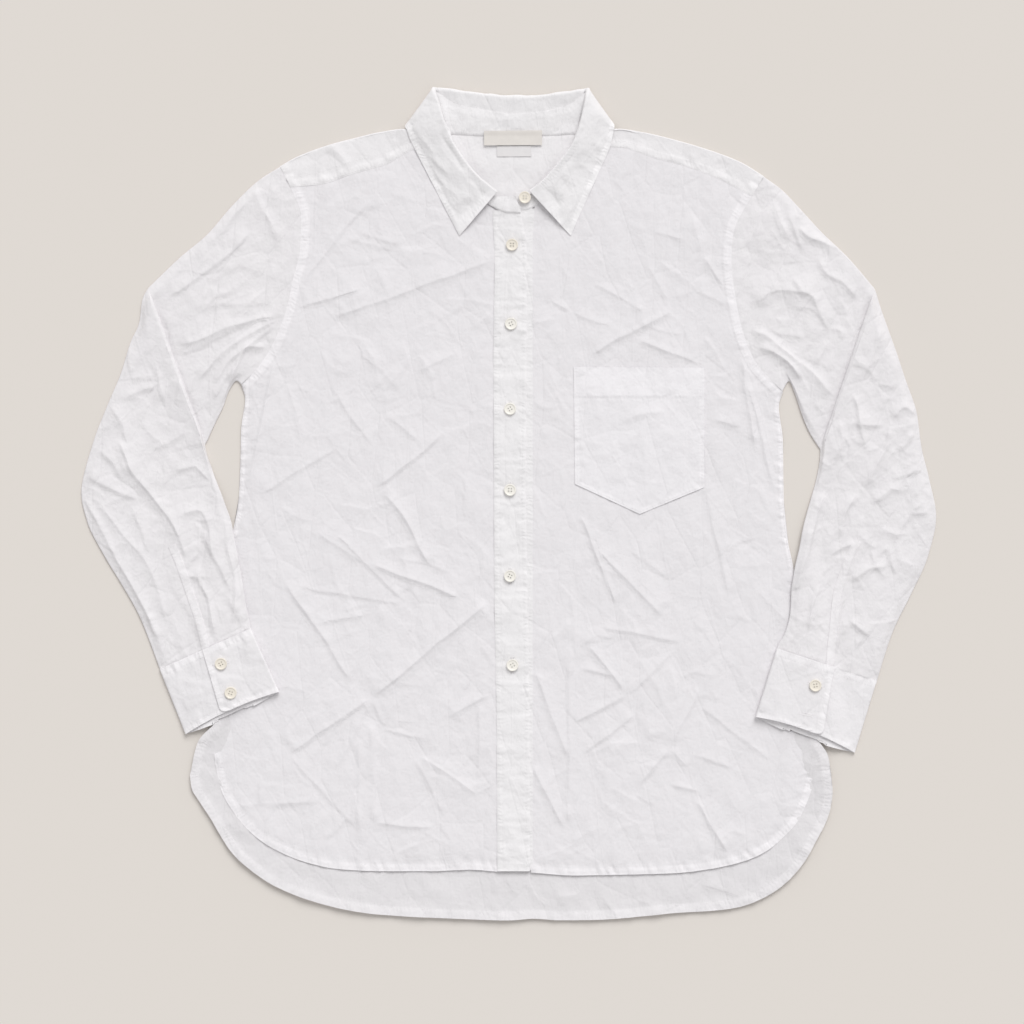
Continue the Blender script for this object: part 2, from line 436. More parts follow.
def swell(x, y, cell, seed):
    """Soft rolling relief, from -1 to 1."""
    u, v = x / cell + 7.31 * seed, y / cell + 3.17 * seed
    i, j = np.floor(u), np.floor(v)
    f, g = ease(u - i), ease(v - j)
    near = chance(i, j, seed) * (1 - f) + chance(i + 1, j, seed) * f
    far = chance(i, j + 1, seed) * (1 - f) + chance(i + 1, j + 1, seed) * f
    return 2 * (near * (1 - g) + far * g) - 1


def facets(x, y, cell, seed):
    """Flat facets between crooked folds, as in crushed paper, from -1 to 1."""
    turn = 0.9 * seed
    u = (x * math.cos(turn) + y * math.sin(turn)) / cell + 0.5 * swell(x, y, 1.2 * cell, seed + 3)
    v = (y * math.cos(turn) - x * math.sin(turn)) / cell + 0.5 * swell(x, y, 1.2 * cell, seed + 7)
    i, j = np.floor(u), np.floor(v)
    f, g = u - i, v - j
    a, b = chance(i, j, seed), chance(i + 1, j, seed)
    c, d = chance(i, j + 1, seed), chance(i + 1, j + 1, seed)
    rising = np.where(f > g, a + (b - a) * f + (d - b) * g, a + (c - a) * g + (d - c) * f)
    falling = np.where(f + g < 1, a + (b - a) * f + (c - a) * g, d + (c - d) * (1 - f) + (b - d) * (1 - g))
    return 2 * np.where(chance(i, j, seed + 5) > 0.5, rising, falling) - 1


def crumple(x, y, seed):
    """The even crumple of washed cloth: facets of several sizes, stronger in some places than in others."""
    strength = 0.85 + 0.4 * swell(x, y, 75, seed + 40)
    large = 0.5 * facets(x, y, 43, seed) + 0.42 * facets(x, y, 23, seed + 1)
    small = 0.26 * facets(x, y, 12.5, seed + 2) + 0.12 * facets(x, y, 6.8, seed + 4)
    return strength * (large + small)


def scatter(seed, count, box, reach, rise):
    """A table of small chance creases inside a box of the board: across, down, across, down."""
    pick = np.random.default_rng(seed)
    table = []
    for _ in range(count):
        spot = pick.uniform(box[:2], box[2:])
        turn, size = pick.uniform(0, 2 * math.pi), pick.uniform(0.25, 1) ** 1.6
        bend = pick.normal(0, 0.22)
        half = reach * size / 2
        ends = [spot + half * np.array([math.cos(turn + side * bend), math.sin(turn + side * bend)]) * side
                for side in (-1, 1)]
        steep = (1.6 + 3.4 * size) * pick.uniform(0.7, 1.3)
        table.append((steep, steep * pick.uniform(2, 4.5), rise * pick.uniform(0.5, 1.2) * size**0.6,
                      *ends[0], *spot, *ends[1]))
    return table


def nearest(line, x, y):
    """For each place its distance from a line, the side of the line it is on and its way along the line, and
    the line's length."""
    gap, side, place, start = np.full(x.shape, FAR), np.zeros(x.shape), np.zeros(x.shape), 0.0
    for (ax, ay), (bx, by) in zip(line[:-1], line[1:]):
        length = math.hypot(bx - ax, by - ay)
        share = np.clip(((x - ax) * (bx - ax) + (y - ay) * (by - ay)) / length**2, 0, 1)
        off = np.hypot(x - ax - share * (bx - ax), y - ay - share * (by - ay))
        nearer = off < gap
        side = np.where(nearer, (y - ay) * (bx - ax) - (x - ax) * (by - ay), side)
        place = np.where(nearer, start + share * length, place)
        gap = np.where(nearer, off, gap)
        start += length
    return gap, side, place, start


def creases(table, x, y, sharp=False):
    """The relief of a table of creases: bent roofs with one steep side, dying away at both ends. With `sharp`
    it gives instead how far each place is from its strongest crest, positive on the steep side, and that
    crest's rise."""
    total, strongest, off_crest, crest = (np.zeros(x.size) for _ in range(4))
    shape, x, y = x.shape, x.ravel(), y.ravel()
    x, y = x + 1.3 * swell(x, y, 23, 71), y + 1.3 * swell(x, y, 23, 72)
    for steep, gentle, rise, *spots in table:
        line = np.array(spots, float).reshape(-1, 2)
        if len(line) > 3:
            line = evenly(line, 3 * len(line))
        reach = max(abs(steep), gentle)
        low, high = line.min(axis=0) - reach, line.max(axis=0) + reach
        near = np.flatnonzero((x > low[0]) & (x < high[0]) & (y > low[1]) & (y < high[1]))
        gap, side, place, length = nearest(line, x[near], y[near])
        on_steep = side * steep > 0
        ends = ease(np.minimum(place, length - place) / min(0.25 * length, 12))
        run = np.where(on_steep, 0.85 * abs(steep), gentle) * (0.4 + 0.6 * ends)
        roof = np.clip(1.03 - np.sqrt((gap / run) ** 2 + 0.0009), 0, 1)
        part = rise * ends * roof * (0.5 + 0.5 * roof)
        total[near] += part
        best = np.abs(part) > strongest[near]
        strongest[near] = np.where(best, np.abs(part), strongest[near])
        off_crest[near] = np.where(best, np.where(on_steep, gap, -gap), off_crest[near])
        crest[near] = np.where(best, rise * ends * bell(gap, 4), crest[near])
    if sharp:
        return np.stack([off_crest.reshape(shape), crest.reshape(shape)], axis=-1)
    return total.reshape(shape)


def along_line(x, y, line):
    """For each point, its distance from a line that is near it and the place along that line."""
    gap, place = np.full(x.shape, FAR), np.zeros(x.shape)
    low, high = line.min(axis=0) - LINE_REACH, line.max(axis=0) + LINE_REACH
    near = (x > low[0]) & (x < high[0]) & (y > low[1]) & (y < high[1])
    gap[near], _, place[near], _ = nearest(line, x[near], y[near])
    return gap, place


def seam_relief(gap, place, width, rise, seed, pucker, pitch):
    """A felled seam or a hem along an edge: a raised band, grooved at its stitches and puckered across."""
    band = ease((width + 0.8 - gap) / 1.6)
    ripple = swell(place + 0.4 * gap, 0 * gap + seed, pitch, seed)
    ripple = ripple + 0.5 * swell(place, gap, 2.2 * pitch, seed + 9)
    spread = bell(gap - 0.6 * width, 0.95 * width)
    groove = bell(gap - width + STITCH_INSET, 0.9) + 0.7 * bell(gap - STITCH_INSET, 0.9)
    return rise * band - 0.22 * groove + pucker * ripple * spread


def puckers(*seams):
    """Where a place lies along the strongest of some seams, and how strongly it puckers there. Each seam gives
    a distance from its edge, a place along it and a width."""
    shape = np.broadcast(*[part for seam in seams for part in seam]).shape
    where, much, second = np.zeros(shape), np.zeros(shape), np.zeros(shape)
    for gap, place, width in seams:
        strength = bell(gap - 0.55 * width, 0.62 * width) + np.zeros(shape)
        second = np.maximum(second, np.minimum(strength, much))
        where, much = np.where(strength > much, place, where), np.maximum(strength, much)
    return np.stack([where, np.maximum(much - 1.3 * second, 0)], axis=-1)


def inside_body(x, y):
    """How far a place is inside the nearer side edge of the body, negative outside it."""
    right = np.array(ARMHOLE_RIGHT + SIDE_RIGHT[1:] + VENT_FRONT_RIGHT[1:], float)
    left = np.array(ARMHOLE_LEFT + SIDE_LEFT[1:] + VENT_FRONT_LEFT[1:], float)
    from_right = x - np.interp(y, right[:, 1], right[:, 0])
    from_left = np.interp(y, left[:, 1], left[:, 0]) - x
    return np.minimum(from_right, from_left)


def climb(x, y):
    """How far a sleeve is lifted where it passes onto the body."""
    over = np.clip((inside_body(x, y) + CLIMB_REACH + CLIMB_RUN) / CLIMB_RUN, 0, 1)
    return CLIMB * ease(over) * np.interp(y, CLIMB_DOWN, (0, 1))


EDGES = {
    hand: {"armhole": evenly(hole, 60), "side": evenly(side + vent[1:], 60), "hem": evenly(hem, 60),
           "yoke": evenly(seam, 30)}
    for hand, hole, side, vent, hem, seam in (
        ("right", ARMHOLE_RIGHT, SIDE_RIGHT, VENT_FRONT_RIGHT, HEM_FRONT_RIGHT, YOKE_SEAM_RIGHT),
        ("left", ARMHOLE_LEFT, SIDE_LEFT, VENT_FRONT_LEFT, HEM_FRONT_LEFT, YOKE_SEAM_LEFT),
    )
}

SCATTER = {
    "right": scatter(4, 420, (232, 150, 500, 875), 62, 0.4),
    "left": scatter(9, 420, (532, 150, 822, 880), 62, 0.4),
    "back": scatter(12, 90, (190, 740, 832, 920), 44, 0.5),
    "sleeve_right": scatter(5, 240, (82, 170, 300, 665), 44, 0.9),
    "sleeve_left": scatter(6, 240, (740, 180, 937, 680), 44, 0.9),
}


def marked(folds, ticks):
    """A piece's marks: its crests, then its puckers. Where it has no crests, `folds` is None."""
    return np.concatenate([np.zeros(ticks.shape) if folds is None else folds, ticks], axis=-1)


def front_seams(x, y, hand):
    """The distance from each sewn edge of a front, and the place along it."""
    return [along_line(x, y, EDGES[hand][name]) for name in FRONT_BANDS]


def open_cloth(x, y):
    """Where a front isn't under a sleeve, and where it isn't under the buttonhole band: 1 there, or else 0."""
    covered = np.interp(y, *UNDER_SLEEVE)
    return ease((inside_body(x, y) - covered) / 10), ease((np.abs(x - BAND_MIDDLE) - BAND_HALF) / 6)


def front_height(x, y, hand):
    """Height of a front's outer face, and how far its cloth is doubled, at each board point."""
    seed = 3 if hand == "right" else 23
    seams = front_seams(x, y, hand)
    (side_gap, _), (hole_gap, _), (hem_gap, _) = seams
    yoke_gap, yoke_place = along_line(x, y, EDGES[hand]["yoke"])
    edge_drop = np.interp(y, (330, 400), (0, FRONT_SKIN - SIDE_SKIN))
    base = FRONT_SKIN - edge_drop * (1 - ease(inside_body(x, y) / 40))
    base = base - 0.7 * (1 - ease(side_gap / 9)) - 0.9 * (1 - ease(hem_gap / 22))
    open_side, off_band = open_cloth(x, y)
    calm = (0.35 + 0.65 * open_side) * off_band
    calm = calm * (0.25 + 0.75 * ease((yoke_gap - 1) / 7) * ease((hem_gap - 6) / 6) * ease((hole_gap - 6) / 6))
    off_pocket = np.maximum(np.maximum(571 - x, x - 707), np.maximum(364 - y, y - 517))
    calm = calm * (0.45 + 0.55 * ease(off_pocket / 10))
    relief = FRONT_CRUMPLE * crumple(x, y, seed) + FRONT_CREASES * creases(CREASES_FRONT, x, y)
    relief = relief + FRONT_SCATTER * creases(SCATTER[hand], x, y)
    height = base + (0.12 + 0.88 * calm) * relief
    for (gap, place), band in zip(seams, FRONT_BANDS.values()):
        height = height + seam_relief(gap, place, *band)
    height = height + 0.35 * swell(yoke_place, yoke_gap, 9, 8) * bell(yoke_gap, 12)
    height = height - 0.25 * (1 - ease(yoke_gap / 2.2)) - 1.4 * bell(np.hypot(x - 214, y - 724), 9)
    gaps = np.stack([gap - band[0] for (gap, _), band in zip(seams, FRONT_BANDS.values())])
    low = SKIN_FLOOR + 0.15 * np.log1p(np.exp((height - SKIN_FLOOR) / 0.15))
    return np.where(height > SKIN_FLOOR + 1, height, low), ease(-gaps.min(axis=0) / 1.2)


def front_marks(x, y, hand):
    """The crests and puckers of a front."""
    folds = creases(CREASES_FRONT + SCATTER[hand], x, y, sharp=True)
    seams = [(*seam, band[0]) for seam, band in zip(front_seams(x, y, hand), FRONT_BANDS.values())]
    open_side, off_band = open_cloth(x, y)
    nearest_gap = np.minimum.reduce([seam[0] for seam in seams])
    folds[..., 1] *= (0.3 + 0.7 * open_side * off_band) * (0.2 + 0.8 * ease((nearest_gap - 6) / 6))
    return marked(folds, puckers(*seams))


def back_height(x, y):
    """Height of the back's inner face: flat where the fronts cover it, lifting a little towards its hem."""
    hem = joined(evenly(VENT_BACK_RIGHT, 16), evenly(HEM_BACK, 110), evenly(VENT_BACK_LEFT[::-1], 16))
    gap, place = along_line(x, y, hem)
    lift = 3.5 * (1 - ease((gap + 14) / 52)) * (0.85 + 0.3 * swell(place, 0 * place, 52, 12))
    open_zone = ease((48 - gap) / 20)
    relief = 1.4 * crumple(x, y, 51) + 1.9 * creases(SCATTER["back"], x, y) + 0.7
    height = BACK_SKIN + lift + open_zone * np.where(relief > 0, relief, 0.2 * relief)
    height = np.maximum(height, BACK_SKIN) + seam_relief(gap, place, BACK_HEM_WIDTH, 0.5, 14, 0.9, PUCKER_PITCH)
    return height, ease((BACK_HEM_WIDTH - gap) / 1.2), gap, place


def band_edges(table, rows):
    """A band's left and right edges at each row down."""
    down, left, right = np.array(table, float).T
    return np.interp(rows, down, left), np.interp(rows, down, right)


def placket_height(x, y):
    """Height of the buttonhole band's outer face, puckered between its two stitch lines."""
    left, right = band_edges(PLACKET, y)
    from_left, from_right = x - left - PLACKET_LINES[0], right - x - PLACKET_LINES[1]
    ripple = 0.8 * swell(0.2 * x, y, PUCKER_PITCH, 31) + 1.1 * swell(0.12 * x, y + 0.12 * x, 9.5, 33)
    lines = 0.7 * (bell(from_left, 5) + bell(from_right, 5))
    groove = bell(from_left, 0.8) + bell(from_right, 0.8)
    edge = 0.55 * (1 - ease(np.minimum(x - left, right - x) / 2.2))
    soft = 0.3 * facets(x, y, 17, 35) + 0.14 * facets(x, y, 8, 36)
    return PLACKET_TOP + 0.62 * ripple * np.minimum(lines + 0.4, 1) - 0.16 * groove - edge + 1.3 * soft


def face_of(grid, around=False):
    """The way that each point of a grid faces, in board millimetres with heights up."""
    rows = np.gradient(grid, axis=0)
    if around:
        columns = (np.roll(grid, -1, axis=1) - np.roll(grid, 1, axis=1)) / 2
    else:
        columns = np.gradient(grid, axis=1)
    way = np.cross(columns, rows)
    return way / np.maximum(np.linalg.norm(way, axis=2), 1e-9)[..., None]


def cells(rows, columns, start=0, around=False, holes=None):
    """The four corners of each cell of a grid of points that starts at a number."""
    width = columns if around else columns + 1
    i, j = np.meshgrid(np.arange(rows), np.arange(columns), indexing="ij")
    if holes is not None:
        i, j = i[~holes], j[~holes]
    after = (j + 1) % columns if around else j + 1
    quads = np.stack([i * width + j, (i + 1) * width + j, (i + 1) * width + after, i * width + after], axis=-1)
    return (quads.reshape(-1, 4) + start).tolist()


def placed(name, data):
    """An object of the data, put in the scene."""
    made = bpy.data.objects.new(name, data)
    bpy.context.scene.collection.objects.link(made)
    return made


def solid(name, points, faces, finish, layers=None, marks=None):
    """A closed piece from board points and faces, put in the scene and given to the shirt's body."""
    places = np.column_stack([points[:, 0] - BOARD[0], BOARD[1] - points[:, 1], points[:, 2]]) * MM
    mesh = bpy.data.meshes.new(name)
    mesh.from_pydata(places.tolist(), [], faces)
    if layers is not None:
        mesh.attributes.new("layers", "FLOAT", "POINT").data.foreach_set("value", layers.astype(np.float32))
    if marks is not None:
        for key, pair in (("folds", marks[:, :2]), ("seams", marks[:, 2:])):
            vectors = np.column_stack([pair, np.zeros(len(pair))]).astype(np.float32)
            mesh.attributes.new(key, "FLOAT_VECTOR", "POINT").data.foreach_set("vector", vectors.ravel())
    mesh.validate()
    mesh.shade_smooth()
    mesh.set_sharp_from_angle(angle=0.9)
    mesh.materials.append(finish)
    piece = placed(name, mesh)
    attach(piece, "root")
    return piece


def laid_sheet(name, grid, wall, finish, layers, marks=None):
    """A sheet that lies flat: a fine upper face over a coarser under face, closed all round."""
    rows, columns = grid.shape[0] - 1, grid.shape[1] - 1
    low = grid[..., 2].copy()
    for axis in (0, 1):
        stack = [low]
        for step in range(1, COARSE + 1):
            stack += [np.roll(low, step, axis), np.roll(low, -step, axis)]
        low = np.minimum.reduce(stack)
        low[(0, -1), :] = grid[(0, -1), :, 2] if axis else low[(0, -1), :]
    under = grid[::COARSE, ::COARSE].copy()
    under[..., 2] = np.maximum(low[::COARSE, ::COARSE] - wall, 0.0)
    base = (rows + 1) * (columns + 1)
    deep, wide = rows // COARSE, columns // COARSE + 1
    faces = cells(rows, columns) + [face[::-1] for face in cells(deep, wide - 1, base)]

    def rim(fine, plain, turn):
        """Faces that close one side, between its fine points and its coarse ones."""
        for k in range(len(plain) - 1):
            ring = [plain[k], plain[k + 1]] + fine[k * COARSE:(k + 1) * COARSE + 1][::-1]
            faces.append(ring if turn else ring[::-1])

    upper, lower = np.arange(base).reshape(rows + 1, -1), base + np.arange((deep + 1) * wide).reshape(-1, wide)
    for side in (0, -1):
        rim(upper[side].tolist(), lower[side].tolist(), side == -1)
    for side in (0, -1):
        rim(upper[:, side].tolist(), lower[:, side].tolist(), side == 0)
    points = np.vstack([grid.reshape(-1, 3), under.reshape(-1, 3)])
    shades = np.concatenate([layers.ravel(), layers[::COARSE, ::COARSE].ravel()])
    if marks is not None:
        marks = np.vstack([marks.reshape(-1, 4), np.zeros((len(points) - base, 4))])
    return solid(name, points, faces, finish, shades, marks)


def shell(name, outer, wall, finish, layers=None, around=False, holes=None, marks=None):
    """A wall of cloth whose outer face is a grid; the inner face is moved in by the wall. A grid that goes
    around joins its last column to its first."""
    rows, columns = outer.shape[0] - 1, outer.shape[1] - (0 if around else 1)
    inner = outer - wall * face_of(outer, around)
    count = outer.shape[0] * outer.shape[1]
    faces = cells(rows, columns, 0, around, holes)
    faces += [face[::-1] for face in cells(rows, columns, count, around, holes)]
    edges = {}
    for face in faces[:len(faces) // 2]:
        for a, b in zip(face, face[1:] + face[:1]):
            if (b, a) in edges:
                del edges[(b, a)]
            else:
                edges[(a, b)] = True
    faces += [[b, a, a + count, b + count] for a, b in edges]
    points = np.vstack([outer.reshape(-1, 3), inner.reshape(-1, 3)])
    points[:, 2] = np.maximum(points[:, 2], 0)
    shades = np.zeros(count) if layers is None else layers.ravel()
    used = np.unique(np.array([v for face in faces for v in face]))
    place = np.full(len(points), -1)
    place[used] = np.arange(len(used))
    faces = [[int(place[v]) for v in face] for face in faces]
    if marks is not None:
        marks = np.tile(marks.reshape(-1, 4), (2, 1))[used]
    return solid(name, points[used], faces, finish, np.concatenate([shades, shades])[used], marks)


class Signal:
    """A value in a material that Python's own operators carry on into Math nodes."""

    def __init__(self, finish, socket):
        self.finish, self.socket = finish, socket

    def math(self, operation, *values):
        return self.finish.node("Math", {"operation": operation}, *values)

    def __add__(self, other):
        return self.math("ADD", self, other)

    def __sub__(self, other):
        return self.math("SUBTRACT", self, other)

    def __rsub__(self, other):
        return self.math("SUBTRACT", other, self)

    def __mul__(self, other):
        return self.math("MULTIPLY", self, other)

    __radd__, __rmul__ = __add__, __mul__

    def sine(self):
        return self.math("SINE", self)

    def at_least(self, least):
        return self.math("MAXIMUM", self, least)

    def second(self):
        """The second output of the same node."""
        return Signal(self.finish, self.socket.node.outputs[1])


class Finish:
    """A material and the one way that nodes are added to it."""

    def __init__(self, name, roughness, sheen=0.0, coat=0.0):
        self.material = bpy.data.materials.new(name)
        self.material.use_nodes = True
        self.tree = self.material.node_tree
        self.shader = self.tree.nodes["Principled BSDF"]
        self.shader.inputs["Roughness"].default_value = roughness
        self.shader.inputs["Sheen Weight"].default_value = sheen
        self.shader.inputs["Sheen Roughness"].default_value = 0.5
        self.shader.inputs["Coat Weight"].default_value = coat
        self.shader.inputs["Coat Roughness"].default_value = 0.2
        self.shader.inputs["Specular IOR Level"].default_value = 0.3 if coat == 0 else 0.5

    def plug(self, socket, value):
        """A value or a link for one socket."""
        if isinstance(value, Signal):
            self.tree.links.new(value.socket, socket)
        else:
            socket.default_value = value

    def node(self, kind, settings=None, *values, out=0, **named):
        """Adds a node: its settings first, then its sockets by order and by name."""
        made = self.tree.nodes.new("ShaderNode" + kind)
        for key, value in (settings or {}).items():
            setattr(made, key, value)
        for socket, value in zip(made.inputs, values):
            self.plug(socket, value)
        for key, value in named.items():
            self.plug(made.inputs[key.replace("_", " ")], value)
        return Signal(self, made.outputs[out])

    def blend(self, factor, first, second):
        """A colour between two, by a factor."""
        made = self.node("Mix", {"data_type": "RGBA"}, out=2)
        inputs = made.socket.node.inputs
        for socket, value in ((inputs[0], factor), (inputs[6], first), (inputs[7], second)):
            self.plug(socket, value)
        return made

    def finished(self, colour, bump=None, depth=0.0001, strength=1.0):
        """Sends the colour and the relief to the shader."""
        self.plug(self.shader.inputs["Base Color"], colour)
        if bump is not None:
            made = self.node("Bump", {}, Strength=strength, Distance=depth, Height=bump)
            self.plug(self.shader.inputs["Normal"], made)
        return self.material


# Crushed facets, coarse to fine: size, stretch, turn, bend, slope of the facets, rise of the lines between them
CRUSHED = [
    (0.052, 2.1, 0.75, 0.25, 0.04, 0.00016), (0.036, 2.0, -0.6, 0.3, 0.045, -0.00013),
    (0.021, 1.5, 1.4, 0.4, 0.05, 0.00008), (0.0105, 1.3, 0.2, 0.7, 0.045, 0), (0.0052, 1.0, 0.9, 1.0, 0.04, 0),
]
# Depths in metres; the width of the crisp lines between the facets; and a crest's reach in millimetres
WEAVE_DEPTH, SLUB_DEPTH, CREST_DEPTH, CRISP_WIDTH, CREST_REACH = 0.00004, 0.00016, 0.00032, 0.0014, 3.0
# Slubs and pale patches to a metre
SLUBS, MOTTLES = 420.0, 28.0
# How much paler or darker than the body each kind of piece is, and how much more it is crushed
TINTS = {
    "sleeve": (1.005, 1.005, 1.0), "band": (1.045, 1.053, 1.041), "cuff": (1.018, 1.021, 1.016),
    "yoke": (1.022, 1.027, 1.017), "pocket": (1.03, 1.033, 1.034), "back": (0.925, 0.925, 0.92),
}
MORE_CRUSHED = {"sleeve": 1.3, "band": 1.2}
# How far the grain is turned, where a kind of piece isn't woven along the board
GRAIN_TURNS = {"sleeve": 0.35}


def cotton(name, colour, doubled, pitch, crushed, turn):
    """Washed plain-weave cotton: over and under threads, small slubs, and paler where cloth lies on cloth."""
    finish = Finish(name, 0.86, sheen=0.12)
    place = finish.node("TexCoord", {}, out=3)
    turned = finish.node("Mapping", {}, place, Rotation=(0, 0, turn))
    split = finish.node("SeparateXYZ", {}, turned)
    across = split * (2 * math.pi / pitch)
    down = split.second() * (2 * math.pi / pitch)
    weave = across.sine() * down.sine()
    slub = finish.node("TexNoise", {}, Vector=turned, Scale=SLUBS, Detail=4.0, Roughness=0.65)
    mottle = finish.node("TexNoise", {}, Vector=turned, Scale=MOTTLES, Detail=3.0, Roughness=0.6)
    layers = finish.node("Attribute", {"attribute_name": "layers"}, out=2)
    base = finish.blend(layers, (*colour, 1), (*doubled, 1))
    dull = [0.965 * part for part in colour]
    tone = finish.blend(mottle * 0.5 + slub * 0.15 - 0.12, base, (*dull, 1))
    relief = weave * WEAVE_DEPTH + slub * SLUB_DEPTH
    fold = finish.node("SeparateXYZ", {}, finish.node("Attribute", {"attribute_name": "folds"}, out=1))
    crest = 1 - fold.at_least(fold * -0.45) * (1 / CREST_REACH)
    relief = relief + crest.at_least(0.0) * fold.second() * CREST_DEPTH
    seam = finish.node("SeparateXYZ", {}, finish.node("Attribute", {"attribute_name": "seams"}, out=1))
    uneven = finish.node("TexNoise", {}, Vector=turned, Scale=75.0, Detail=1.0)
    tick = (seam * (2 * math.pi / PUCKER_PITCH) + uneven * 16.0).sine()
    relief = relief + tick * seam.second() * (uneven * 0.00017 - 0.00002)
    to_edge = {"feature": "DISTANCE_TO_EDGE", "voronoi_dimensions": "2D"}
    for size, long, lean, bend, slope, line in CRUSHED:
        scale = (1 / size, 1 / (size * long), 1 / size)
        laid = finish.node("Mapping", {}, turned, Rotation=(0, 0, lean), Scale=scale)
        bent = finish.node("TexNoise", {}, out=1, Vector=laid, Scale=0.6, Detail=1.0)
        bent = finish.node("VectorMath", {"operation": "MULTIPLY_ADD"}, bent, (bend,) * 3, laid)
        fold = finish.node("TexVoronoi", to_edge, Vector=bent, Scale=1.0)
        relief = relief + fold * (crushed * slope * size)
        if line:
            relief = relief + (1 - fold * (size / CRISP_WIDTH)).at_least(0.0) * (crushed * line)
    return finish.finished(tone, relief, depth=1.0)


def resin(name, colour, pale):
    """Button resin: cream with a faint cloud in it and a soft gloss."""
    finish = Finish(name, 0.34, coat=0.25)
    place = finish.node("TexCoord", {}, out=3)
    cloud = finish.node("TexNoise", {}, Vector=place, Scale=260.0, Detail=3.0)
    return finish.finished(finish.blend(cloud, (*colour, 1), (*pale, 1)), cloud, depth=0.00003, strength=0.4)


def tape(name, colour):
    """Blank woven label tape with fine ribs."""
    finish = Finish(name, 0.7, sheen=0.1)
    place = finish.node("TexCoord", {}, out=3)
    split = finish.node("SeparateXYZ", {}, place)
    ribs = (split.second() * 9000.0).sine()
    weft = (split * 5200.0).sine()
    cloud = finish.node("TexNoise", {}, Vector=place, Scale=180.0, Detail=2.0)
    tone = finish.blend(cloud, (*colour, 1), (*[0.93 * part for part in colour], 1))
    return finish.finished(tone, ribs * 0.5 + weft * 0.2, depth=0.00008)


def flat_colour(name, colour):
    """The stage's plain, even surface."""
    finish = Finish(name, 1.0)
    finish.shader.inputs["Specular IOR Level"].default_value = 0.0
    return finish.finished((*colour, 1))


def cloth_finish(kind):
    """The cotton of one kind of piece, made once: the body's, or one of the kinds that are tinted."""
    name = f"cotton_{kind}"
    if name in bpy.data.materials:
        return bpy.data.materials[name]
    cloth = bpy.context.scene.shirt_cloth
    colour = [part * share for part, share in zip(cloth.colour, TINTS.get(kind, (1, 1, 1)))]
    doubled = [min(part * cloth.doubled, 0.96) for part in colour]
    return cotton(name, colour, doubled, cloth.pitch, MORE_CRUSHED.get(kind, 1.0), GRAIN_TURNS.get(kind, 0.0))


def aside_of(line):
    """The way to the right of a line's heading on the board, at each of its points."""
    way = np.gradient(line, axis=0)
    way = way / np.linalg.norm(way, axis=1)[:, None]
    return np.column_stack([-way[:, 1], way[:, 0]])


def beside(line, gap):
    """A line moved aside by a gap, to the right of its heading on the board."""
    return line + gap * aside_of(line)


STITCHES = []


def sew(line, heights=None):
    """Notes a row of stitches, for the piece that holds them all. The heights of a line on the board are worked
    out from its places."""
    line = np.asarray(line, float)
    at = way_along(line)
    want = np.arange(STITCH_PITCH / 2, at[-1], STITCH_PITCH)

    def spots(shift):
        """Places on the line, moved along it."""
        found = np.stack([np.interp(want + shift, at, line[:, axis]) for axis in range(line.shape[1])], axis=1)
        return found if heights is None else with_height(found, heights(*across_down(found)))

    way = spots(0.3) - spots(-0.3)
    STITCHES.append((spots(0.0), way / np.linalg.norm(way, axis=1)[:, None], *STITCH_SIZE))


def sew_slit(spot, heading, height, size=SLIT_LENGTH):
    """Notes a buttonhole: two close rows of stitches laid across its slit."""
    ahead = np.array([math.cos(heading), math.sin(heading)])
    aside = np.array([-ahead[1], ahead[0]])
    along = np.arange(-size / 2, size / 2 + 0.01, SLIT_PITCH)
    for hand in (-1, 1):
        flat = np.array(spot) + along[:, None] * ahead + hand * SLIT_ASIDE * aside
        way = np.tile([*aside, 0.0], (len(along), 1))
        STITCHES.append((with_height(flat, height), way, *SLIT_SIZE))


def stitched_piece(name, finish):
    """All the stitches as small closed ridges."""
    points, faces = [], []
    for spots, way, length, width, rise in STITCHES:
        up = np.array([0.0, 0.0, 1.0])
        aside = np.cross(up, way)
        aside /= np.linalg.norm(aside, axis=1)[:, None]
        ends, sides = way * length / 2, aside * width / 2
        low, high = up * 0.25, up * rise
        for spot, e, s in zip(spots, ends, sides):
            k = len(points)
            points += [spot - e - s - low, spot + e - s - low, spot + e + s - low, spot - e + s - low,
                       spot - e * 0.62 + high, spot + e * 0.62 + high]
            faces += [[k, k + 1, k + 2, k + 3], [k + 1, k, k + 4, k + 5], [k + 3, k + 2, k + 5, k + 4],
                      [k, k + 3, k + 4], [k + 2, k + 1, k + 5]]
    return solid(name, np.array(points), faces, finish)


def declare(nodes):
    """Names what a sheet replaces, its finish and the size that it was cut to."""
    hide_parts(*nodes)


def tint(name, description, default):
    """A colour in a group of settings."""
    return FloatVectorProperty(name=name, description=description, default=default, subtype="COLOR", size=3,
                               min=0, max=1)


def factor(name, description, default, low, high, kind="FACTOR"):
    """A plain number in a group of settings."""
    return FloatProperty(name=name, description=description, default=default, min=low, max=high, subtype=kind)


def measure(name, description, default, low, high):
    """A small length in a group of settings."""
    return FloatProperty(name=name, description=description, default=default, min=low, max=high, unit="LENGTH",
                         precision=5)


class ShirtCloth(PropertyGroup):
    """The cloth's sizes and colours."""

    colour: tint("Cloth", "Colour of a single layer of the cotton", (0.835, 0.812, 0.83))
    doubled: factor("Doubled", "How much paler cloth is where it is doubled", 1.10, 1, 1.2)
    pitch: measure("Weave", "Distance from one thread to the next but one", 0.0007, 0.0003, 0.005)
    wall: measure("Wall", "Thickness of a single layer", 0.0006, 0.0003, 0.002)
    sleeve_crumple: factor("Sleeve crumple", "How crumpled the sleeves are beside the body", 1.9, 0, 4)


